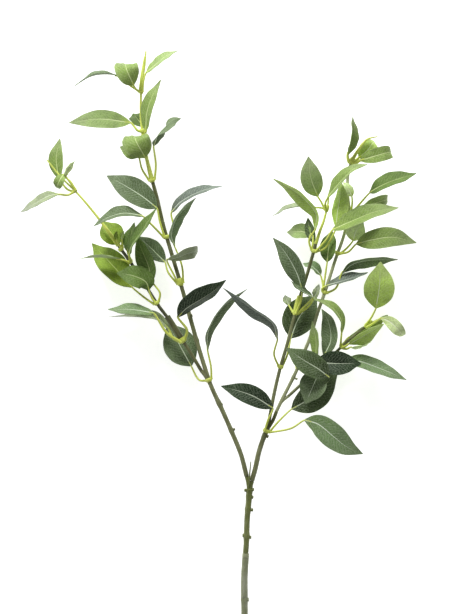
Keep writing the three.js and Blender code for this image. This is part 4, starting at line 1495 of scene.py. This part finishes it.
WHORLS: tuple[Whorl, ...] = (
    Whorl(name="leader_top_whorl", on="left_leader", at=(140.6, 92), leaves=(
        Leaf(stalk=((136.4, 90, 46),), width=24, roll=(16, 0), tone=Tone.MID, fold=8,
             rib=((134, 86, 52), (130.5, 78.5, 57), (127.4, 71.5, 58), (126.2, 67, 54), (126, 64.8, 45),
                  (126, 64.4, 36))),
        Leaf(stalk=((129, 85, 43),), width=15, roll=(78, 78), tone=Tone.DUSK,
             rib=((120, 76.5, 45), (106, 75, 47), (92, 77, 46.5), (74, 87, 42))),
        Leaf(stalk=((144, 80, 42),), width=17, roll=(-60, -60), tone=Tone.FRESH, fold=12,
             rib=((146, 73, 43), (155, 66, 46), (166, 57, 46), (178, 51, 44))),
    )),
    Whorl(name="leader_middle_whorl", on="left_leader", at=(142.6, 131), leaves=(
        Leaf(stalk=((138, 131, 41),), width=18.5, roll=(8, 8), tone=Tone.FRESH, fold=5,
             rib=((131, 123, 42), (100, 119.4, 45), (69, 123, 38))),
        Leaf(stalk=((145, 134, 40),), width=17, roll=(-44, -44), tone=Tone.MID, fold=12,
             rib=((146, 131, 42), (147, 114, 45), (152, 98, 47), (161, 80, 44))),
        # This leaf's darker tone stands in for the shadow that the second leaf casts on it: a painted
        # shadow
        Leaf(stalk=((142, 130, 35),), width=17, roll=(20, 20), tone=Tone.SHADE,
             rib=((143, 127, 32), (139, 121, 24), (132.6, 112.6, 8))),
    )),
    Whorl(name="left_whorl_5", on="left_branch", at=(152, 180), leaves=(
        Leaf(stalk=((149, 167, 43),), width=28, roll=(0, 0), tone=Tone.MID, fold=6,
             rib=((145.5, 158, 50), (141, 150, 57), (137, 143, 58), (135.6, 138.8, 53),
                  (135.4, 137, 45), (135.4, 136.6, 36))),
        Leaf(stalk=((142, 169, 38),), width=15, roll=(0, 0), tone=Tone.MID, fold=5,
             rib=((139, 157, 37), (131, 151.6, 40), (120, 147, 38))),
        Leaf(stalk=((156, 165, 41),), width=18, roll=(35, 165), tone=Tone.DUSK,
             rib=((154, 146, 44), (158, 136, 48), (166, 127, 50), (173, 121, 48), (181, 119, 45))),
    )),
    Whorl(name="left_whorl_4", on="left_branch", at=(166, 237), leaves=(
        Leaf(stalk=((160, 222, 39),), width=26, roll=(14, 14), tone=Tone.DUSK, fold=10,
             rib=((157, 208, 41), (143, 197, 44), (122, 184, 43), (107, 176, 38))),
        Leaf(stalk=((150, 223, 42),), width=18, roll=(54, 54), tone=Tone.DUSK,
             rib=((143, 216, 45), (124, 213.6, 49), (108, 218, 47), (94, 226, 41))),
        Leaf(stalk=((174, 230, 39),), width=16, roll=(-50, -60), tone=Tone.STEEL,
             rib=((171, 213, 41), (180, 203, 44), (193, 195, 46), (207, 189.5, 44), (223, 186, 40))),
    )),
    Whorl(name="left_whorl_3", on="left_branch", at=(181, 284), sheath=4, leaves=(
        Leaf(stalk=((168, 272, 34),), width=18, roll=(8, 8), tone=Tone.DUSK,
             rib=((165, 262, 31), (152, 249, 18), (138, 236, 3))),
        Leaf(stalk=((182, 266, 37),), width=18, roll=(60, 60), tone=Tone.GREY,
             rib=((175, 246, 40), (171.5, 236, 42), (177, 218, 45), (196, 198, 44))),
        Leaf(stalk=((174, 275, 39),), width=16, roll=(75, 10), tone=Tone.SAGE, fold=5,
             rib=((167, 260, 42), (178, 257.5, 46), (188, 253.5, 48), (194.5, 252, 45),
                  (197, 251.6, 37), (197.6, 251.5, 30))),
    )),
    Whorl(name="left_whorl_1", on="left_branch", at=(207, 381), leaves=(
        Leaf(stalk=((199, 380, 23),), width=33, roll=(0, 0), tone=Tone.DUSK, fold=12,
             rib=((191, 366, 19), (181, 348, 13), (167, 323, 4))),
        Leaf(stalk=((211, 367, 33),), width=18, roll=(64, 64), tone=Tone.DUSK,
             rib=((208, 350, 36), (208, 332, 40), (222, 308, 42), (247, 289, 38))),
    )),
    Whorl(name="side_whorl_1", on="side_branch", at=(183, 341), sheath=5, stalk_radius=1.5, leaves=(
        Leaf(stalk=((187, 330, 38),), width=26, roll=(50, 50), tone=Tone.NIGHT, fold=-20,
             rib=((178, 317, 43), (186, 309, 46), (200, 300, 48), (213, 291.5, 47), (226, 280, 43))),
        Leaf(stalk=((167, 333, 36),), width=20, roll=(56, 56), tone=Tone.GREY, fold=6,
             rib=((154, 313, 40), (131, 309.5, 42), (108, 309.4, 38))),
        Leaf(stalk=((173, 338, 28),), width=18, roll=(50, 86), tone=Tone.SAGE,
             rib=((169, 329, 26), (158, 319, 24), (135, 316.4, 20), (108, 317, 11))),
    )),
    Whorl(name="side_whorl_2", on="side_branch", at=(157, 303), leaves=(
        Leaf(stalk=((152, 298, 35),), width=23, roll=(18, 18), tone=Tone.SHADE, fold=12,
             rib=((149, 290, 38), (146, 282, 41), (134, 276, 43), (117, 273, 40))),
        Leaf(stalk=((145, 298, 31),), width=28, roll=(18, 18), tone=Tone.MOSS, fold=12,
             rib=((132, 287, 28), (112, 265, 20), (95, 247, 2), (91, 243, 0))),
        Leaf(stalk=((160, 293, 35),), width=20, roll=(-30, -30), tone=Tone.SHADE,
             rib=((152, 282, 36), (149, 267, 36), (142, 250, 34), (137, 236, 30))),
    )),
    Whorl(name="side_whorl_3", on="side_branch", at=(130, 262), leaves=(
        Leaf(stalk=((130, 260, 36),), width=19, roll=(-60, -60), tone=Tone.SHADE,
             rib=((129, 255, 40), (132, 246, 45), (142, 232, 52), (157, 208, 55))),
        Leaf(stalk=((126, 261, 35),), width=14, roll=(90, 90), tone=Tone.FRESH,
             rib=((121, 259, 38), (100, 257.4, 41), (77, 259, 39))),
        Leaf(stalk=((129, 256, 28),), width=14, roll=(-40, -40), tone=Tone.SHADE,
             rib=((127, 251, 26), (130, 238, 20), (134, 222, 13))),
    )),
    Whorl(name="side_whorl_4", on="side_branch", at=(121, 249), leaves=(
        Leaf(stalk=((122, 248, 27),), width=24, roll=(14, 14), tone=Tone.MOSS, fold=12,
             rib=((119, 244, 25), (111, 233, 20), (103, 221, 13))),
        Leaf(stalk=((122, 243, 33),), width=4, roll=(0, 0), tone=Tone.LIME,
             rib=((122, 240, 34), (122, 236, 36), (124, 231, 37))),
        Leaf(stalk=((118, 243, 33),), width=4, roll=(0, 0), tone=Tone.MOSS,
             rib=((117, 240, 34), (116, 236, 35), (117, 231, 35))),
    )),
    Whorl(name="side_whorl_5", on="side_leader", at=(74.6, 191), leaves=(
        Leaf(stalk=((68, 195, 31),), width=17, roll=(56, 56), tone=Tone.SAGE, fold=10,
             rib=((59, 194, 33), (49, 196, 35), (36, 203, 32), (20, 212, 24))),
        Leaf(stalk=((67, 189, 25),), width=16, roll=(-24, -24), tone=Tone.MID, fold=10,
             rib=((58.5, 178, 23), (56, 158, 23), (59.5, 138, 20))),
        Leaf(stalk=((70, 181, 33),), width=8, roll=(50, 50), tone=Tone.LIGHT,
             rib=((65, 177, 34), (67, 170, 36), (75, 161, 35))),
        Leaf(stalk=((69, 181, 34),), width=11, roll=(20, 20), tone=Tone.MID, fold=5,
             rib=((64, 174, 35), (60, 180, 38), (57.4, 186, 36), (57, 188, 30))),
    )),
    Whorl(name="right_trunk_whorl", on="right_trunk", at=(266, 431), leaves=(
        Leaf(stalk=((280, 431, 28), (292, 428, 30)), width=25, roll=(0, 0), tone=Tone.GREY, fold=8,
             rib=((305, 420, 31), (318, 424, 34), (333, 436, 35), (347, 447, 33), (363, 454, 28))),
        Leaf(stalk=((268, 420, 31),), width=20, roll=(4, 4), tone=Tone.NIGHT, fold=12,
             rib=((273, 408, 34), (252, 395.4, 38), (221, 386, 34))),
        Leaf(stalk=((281, 419, 28),), width=29, roll=(8, 8), tone=Tone.DARK,
             rib=((292, 409, 27), (312, 397, 26), (338, 372, 23))),
    )),
    Whorl(name="first_whorl_a", on="right_branch_1", at=(280.6, 367), leaves=(
        Leaf(stalk=((274, 354, 37),), width=20, roll=(-62, -62), tone=Tone.STEEL,
             rib=((277, 339, 42), (273, 324, 47), (251, 308, 53), (223, 288, 53))),
        Leaf(stalk=((287, 356, 25),), width=33, roll=(0, 0), tone=Tone.DARK,
             rib=((291, 338, 20), (299, 318, 19), (317, 295, 15))),
    )),
    Whorl(name="first_whorl_b", on="right_branch_1", at=(295.4, 313), sheath=16, leaves=(
        Leaf(stalk=((301, 300, 39),), width=20, roll=(-22, -22), tone=Tone.DUSK, fold=12,
             rib=((302, 289, 43), (297, 274, 47), (286, 254, 49), (273, 238, 46))),
        Leaf(stalk=((305, 306, 37),), width=13, roll=(62, 62), tone=Tone.DUSK,
             rib=((313, 297, 41), (304, 292.6, 45), (297, 287.6, 46), (291, 281, 44))),
        Leaf(stalk=((308, 307, 33),), width=8, roll=(-30, -30), tone=Tone.SAGE,
             rib=((314, 298, 35), (317, 291, 38), (319, 284, 39))),
        Leaf(stalk=((291, 309, 28),), width=9, roll=(20, 20), tone=Tone.SAGE,
             rib=((289, 305, 26), (287, 301, 24), (285, 295, 21))),
    )),
    Whorl(name="first_whorl_c", on="right_branch_1", at=(313.6, 251), leaves=(
        Leaf(stalk=((309, 240, 37),), width=20, roll=(-58, -58), tone=Tone.LIME,
             rib=((315, 229, 40), (316, 215, 44), (299, 195, 47), (273, 179, 44))),
        Leaf(stalk=((313, 240, 28),), width=17, roll=(24, 24), tone=Tone.FRESH, fold=12,
             rib=((313, 234, 26), (302, 231.5, 22), (287, 232, 13))),
        Leaf(stalk=((325, 248, 38),), width=20, roll=(-40, -40), tone=Tone.LIME, fold=-20,
             rib=((336, 227, 41), (337, 213, 44.6), (339.6, 199, 45.6), (341, 182, 43))),
        Leaf(stalk=((326, 240, 42),), width=22, roll=(-40, -40), tone=Tone.MID,
             rib=((332, 230, 46), (350, 222, 51), (375, 212, 51), (398, 208, 48))),
        Leaf(stalk=((316, 248, 29),), width=10, roll=(0, 0), tone=Tone.DARK,
             rib=((314, 243, 28), (310, 231, 24), (308, 217, 18))),
    )),
    Whorl(name="first_whorl_d", on="right_leader_1", at=(326.4, 210), sheath=3, leaves=(
        Leaf(stalk=((321, 202, 39),), width=22, roll=(6, 6), tone=Tone.FRESH, fold=8,
             rib=((317.5, 196.5, 42), (310.5, 178, 50), (308, 157, 53))),
        Leaf(stalk=((322, 208, 31),), width=14, roll=(70, 70), tone=Tone.SAGE,
             rib=((316, 207, 29), (300, 206.5, 26), (285, 209.5, 21), (272, 216, 12))),
        Leaf(stalk=((325, 204, 42),), width=18, roll=(-58, -58), tone=Tone.MID,
             rib=((327, 198, 47), (341, 181, 56), (354, 169, 60), (367, 165, 58))),
    )),
    Whorl(name="second_whorl_a", on="right_branch_2", at=(298, 367), sheath=5, leaves=(
        Leaf(stalk=((306, 369, 31), (315, 369, 32)), width=27, roll=(8, 8), tone=Tone.DUSK,
             rib=((319.6, 371.4, 32), (315.6, 380, 34.4), (311, 390.6, 36.6), (305.4, 403.6, 36))),
        Leaf(stalk=((311, 363, 27),), width=19, roll=(-30, -30), tone=Tone.DUSK,
             rib=((324, 356, 27), (331, 340, 26), (329, 323, 22), (322, 309, 16))),
        Leaf(stalk=((309, 362, 30),), width=14, roll=(-50, -50), tone=Tone.MID,
             rib=((316, 357, 32), (316, 340, 34), (312, 321, 34))),
    )),
    Whorl(name="second_whorl_b", on="right_branch_2", at=(325, 292), leaves=(
        Leaf(stalk=((325, 277, 31),), width=17, roll=(-20, -20), tone=Tone.SHADE,
             rib=((327, 262, 33), (329, 246, 33), (332, 230, 30))),
        Leaf(stalk=((322, 289, 30),), width=17, roll=(-60, -60), tone=Tone.STEEL,
             rib=((326, 285.5, 33), (344, 280.5, 37), (368, 272.5, 37))),
        Leaf(stalk=((336, 288, 32),), width=17, roll=(54, 54), tone=Tone.DUSK,
             rib=((342, 273, 35), (352, 264.5, 37), (368, 260.5, 37), (398, 259.5, 35))),
        Leaf(stalk=((323, 284, 24),), width=14, roll=(50, 50), tone=Tone.GREY,
             rib=((321, 275, 22), (313, 267, 19), (303, 263, 13))),
    )),
    Whorl(name="second_whorl_c", on="right_branch_2", at=(337.6, 253), leaves=(
        Leaf(stalk=((348, 252, 37),), width=21, roll=(-8, -8), tone=Tone.MID, fold=6,
             rib=((356, 244, 42), (372, 240, 50), (392, 237.5, 53), (416, 243, 47))),
        Leaf(stalk=((347, 248, 32),), width=20, roll=(10, 10), tone=Tone.LIGHT, fold=8,
             rib=((353, 241, 34), (356, 231, 37), (363, 221, 39))),
    )),
    Whorl(name="second_whorl_d", on="right_branch_2", at=(349.4, 213), leaves=(
        Leaf(stalk=((357, 207, 36),), width=20, roll=(-45, -45), tone=Tone.SHADE,
             rib=((369, 193, 42), (379, 187, 46), (390, 182, 47), (402, 178, 47), (416, 173.5, 44))),
        Leaf(stalk=((355, 211, 31),), width=16, roll=(50, 20), tone=Tone.MID, fold=8,
             rib=((361, 208, 30), (374, 203.5, 29), (384, 200.5, 25), (387.4, 199.6, 18),
                  (388, 199.4, 12))),
        Leaf(stalk=((352, 205, 35),), width=9, roll=(20, 20), tone=Tone.LIGHT,
             rib=((352, 197, 38), (348, 189, 39), (343, 182, 38))),
    )),
    Whorl(name="second_whorl_e", on="right_branch_2", at=(351.2, 162.6),
          sheath=3, stalk_radius=1.6, stalk_tip_radius=1.2, leaves=(
        Leaf(stalk=((348.4, 161, 37),), width=16.5, roll=(60, 60), tone=Tone.MID, fold=30,
             rib=((347.8, 156, 39), (349.4, 145, 42), (351.6, 132, 45), (352.6, 117, 44))),
        Leaf(stalk=((356.4, 162.6, 34),), width=15, roll=(-8, -8), tone=Tone.MID, fold=8,
             rib=((359.6, 160.6, 35), (372, 157, 39), (384, 153.6, 41), (389.5, 152.4, 37),
                  (391, 152.2, 28), (391.6, 152.1, 19))),
        Leaf(stalk=((355.6, 160.6, 30),), width=19, roll=(10, 10), tone=Tone.LIME, fold=8,
             rib=((359, 157.6, 30), (368, 149.5, 32), (372.4, 143, 31), (373.8, 140.6, 25))),
    )),
    Whorl(name="third_whorl_a", on="right_branch_3", at=(322, 366), leaves=(
        Leaf(stalk=((316, 366, 29),), width=24, roll=(-5, -5), tone=Tone.NIGHT,
             rib=((315.6, 362, 33), (337, 363.4, 36), (361, 363.4, 31))),
        Leaf(stalk=((334, 366, 23),), width=20, roll=(-44, -44), tone=Tone.GREY, fold=8,
             rib=((343, 360, 24), (360, 361.6, 26), (376, 367, 25.6), (391, 373, 24), (407, 380, 19))),
        Leaf(stalk=((327, 375, 37),), width=24, roll=(6, 6), tone=Tone.DARK, fold=10,
             rib=((329, 377, 42), (318, 368.6, 46), (303, 359.6, 47.6), (286, 348, 46))),
    )),
    Whorl(name="third_whorl_b", on="right_branch_3", at=(342, 346.7), leaves=(
        Leaf(stalk=((341, 340, 30),), width=13, roll=(56, 56), tone=Tone.MID,
             rib=((342, 333, 33), (341, 320, 37), (330, 306, 39), (311, 298, 38))),
        Leaf(stalk=((346, 346, 29),), width=18, roll=(48, 48), tone=Tone.LIME,
             rib=((349, 344, 31), (365, 335, 33), (384, 324, 29))),
        Leaf(stalk=((345, 342, 21),), width=17, roll=(50, 50), tone=Tone.MOSS,
             rib=((349, 338, 19), (368, 328, 12), (386, 317, 2), (389, 315, 0))),
        Leaf(stalk=((347, 349, 24),), width=12, roll=(78, 78), tone=Tone.LIGHT,
             rib=((350, 348, 24), (361, 345, 24), (372, 342, 21))),
    )),
    Whorl(name="third_whorl_c", on="right_branch_3", at=(366.4, 326.2), sheath=6, leaves=(
        Leaf(stalk=((371, 318, 31),), width=31, roll=(0, 0), tone=Tone.LIME, fold=6,
             rib=((376, 308, 35), (379, 286, 45), (380, 262, 50))),
        Leaf(stalk=((374, 323, 30),), width=13, roll=(10, 10), tone=Tone.LIGHT, fold=4,
             rib=((381, 318, 36), (390, 322, 40), (398, 329.6, 40), (402, 334.6, 35), (403, 336, 27))),
    )),
)


@dataclass
class Studio:
    """The pale floor, the soft lights and the camera over them, in metres."""

    floor_side: float = 60.0
    floor_drop: float = 0.0004
    floor_shades: tuple[Colour, Colour] = ((246, 246, 246), (250, 250, 250))
    floor_clouds: Cloud = Cloud(0.8)
    cloud_edges: Range = (0.3, 0.7)
    floor_roughness: float = 0.9
    floor_gloss: float = 0.1
    floor_glow: float = 0.68
    camera_height: float = 5.0
    aim_height: float = 0.032
    sensor: float = 36.0
    far_limit: float = 240.0
    lamp_place: Point = (-0.5, 1.9, 1.13)
    lamp_size: float = 0.8
    lamp_power: float = 52.0
    dome: float = 0.36
    white: Paint = (1.0, 1.0, 1.0, 1.0)

    def build(self, sheet: LayoutSheet) -> None:
        """Lays the floor, hangs the lights and puts the camera over the sheet.

        Args:
            sheet: where the layout lies.
        """
        self._floor()
        self._lights()
        self._camera(sheet)

    def _floor(self) -> None:
        """Lays the floor."""
        half = self.floor_side / 2
        mesh = bpy.data.meshes.new("floor")
        corners = [(-half, -half), (half, -half), (half, half), (-half, half)]
        mesh.from_pydata([(x, y, -self.floor_drop) for x, y in corners], [], [(0, 1, 2, 3)])
        board = NodeBoard("floor_card")
        clouds = board.ramp(board.noise(board.coordinates(), self.floor_clouds), self.cloud_edges)
        shade = board.blend(clouds, *map(paint, self.floor_shades))
        board.wire(shade, board.shader.inputs["Base Color"])
        board.feel(
            Roughness=self.floor_roughness,
            Specular_IOR_Level=self.floor_gloss,
            Emission_Color=self.white,
            Emission_Strength=self.floor_glow,
        )
        mesh.materials.append(board.material)
        floor = bpy.data.objects.new("floor", mesh)
        bpy.context.scene.collection.objects.link(floor)

    def _lights(self) -> None:
        """Hangs one soft lamp towards the top of the sheet and lights the white room."""
        lamp = bpy.data.lights.new("soft_lamp", "AREA")
        lamp.energy = self.lamp_power
        lamp.size = self.lamp_size
        holder = bpy.data.objects.new("soft_lamp", lamp)
        holder.location = self.lamp_place
        holder.rotation_euler = (-Vector(self.lamp_place)).to_track_quat("-Z", "Y").to_euler()
        holder.visible_camera = False
        bpy.context.scene.collection.objects.link(holder)
        world = bpy.data.worlds.new("white_room")
        world.use_nodes = True
        background = world.node_tree.nodes["Background"]
        background.inputs["Color"].default_value = self.white
        background.inputs["Strength"].default_value = self.dome
        bpy.context.scene.world = world
        bpy.context.scene.view_settings.view_transform = "Standard"

    def _camera(self, sheet: LayoutSheet) -> None:
        """Hangs the camera straight above the middle of the layout sheet, with the sheet's top upwards.

        Args:
            sheet: where the layout lies.
        """
        data = bpy.data.cameras.new("camera")
        data.sensor_fit = "VERTICAL"
        data.sensor_height = self.sensor
        data.sensor_width = self.sensor
        data.lens = self.sensor * (self.camera_height - self.aim_height) / (SHEET_HEIGHT * MILLIMETRE)
        data.clip_end = self.far_limit
        camera = bpy.data.objects.new("camera", data)
        middle = sheet.place((SHEET_WIDTH / 2, SHEET_HEIGHT / 2, 0)) * MILLIMETRE
        camera.location = (middle.x, middle.y, self.camera_height)
        bpy.context.scene.collection.objects.link(camera)
        bpy.context.scene.camera = camera


def dress_wire(wire: bpy.types.Object) -> None:
    """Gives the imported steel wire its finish.

    Args:
        wire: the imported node, which keeps its shape and place.
    """
    wire.data.materials.clear()
    wire.data.materials.append(DrawnSteel().material("core_steel"))


def report(piece: bpy.types.Object) -> None:
    """Logs a finished piece and how many faces it has."""
    log.info("%s: %d faces", piece.name, len(piece.data.polygons))


def main() -> None:
    """Builds the stems, the whorls and the studio, and reports each piece."""
    logging.basicConfig(level=logging.INFO, format="%(message)s")
    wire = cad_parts["core_wire"]
    sheet = LayoutSheet(wire)
    plastics = PlasticKit()
    fabrics = FabricKit()
    pattern = LeafPattern()
    stems = {stem.name: stem for stem in STEMS}
    for stem in STEMS:
        report(stem.build(sheet, plastics))
    for whorl in WHORLS:
        for piece in whorl.build(sheet, stems[whorl.on], pattern, plastics, fabrics):
            report(piece)
    dress_wire(wire)
    report(wire)
    Studio().build(sheet)


if __name__ == "__main__":
    main()
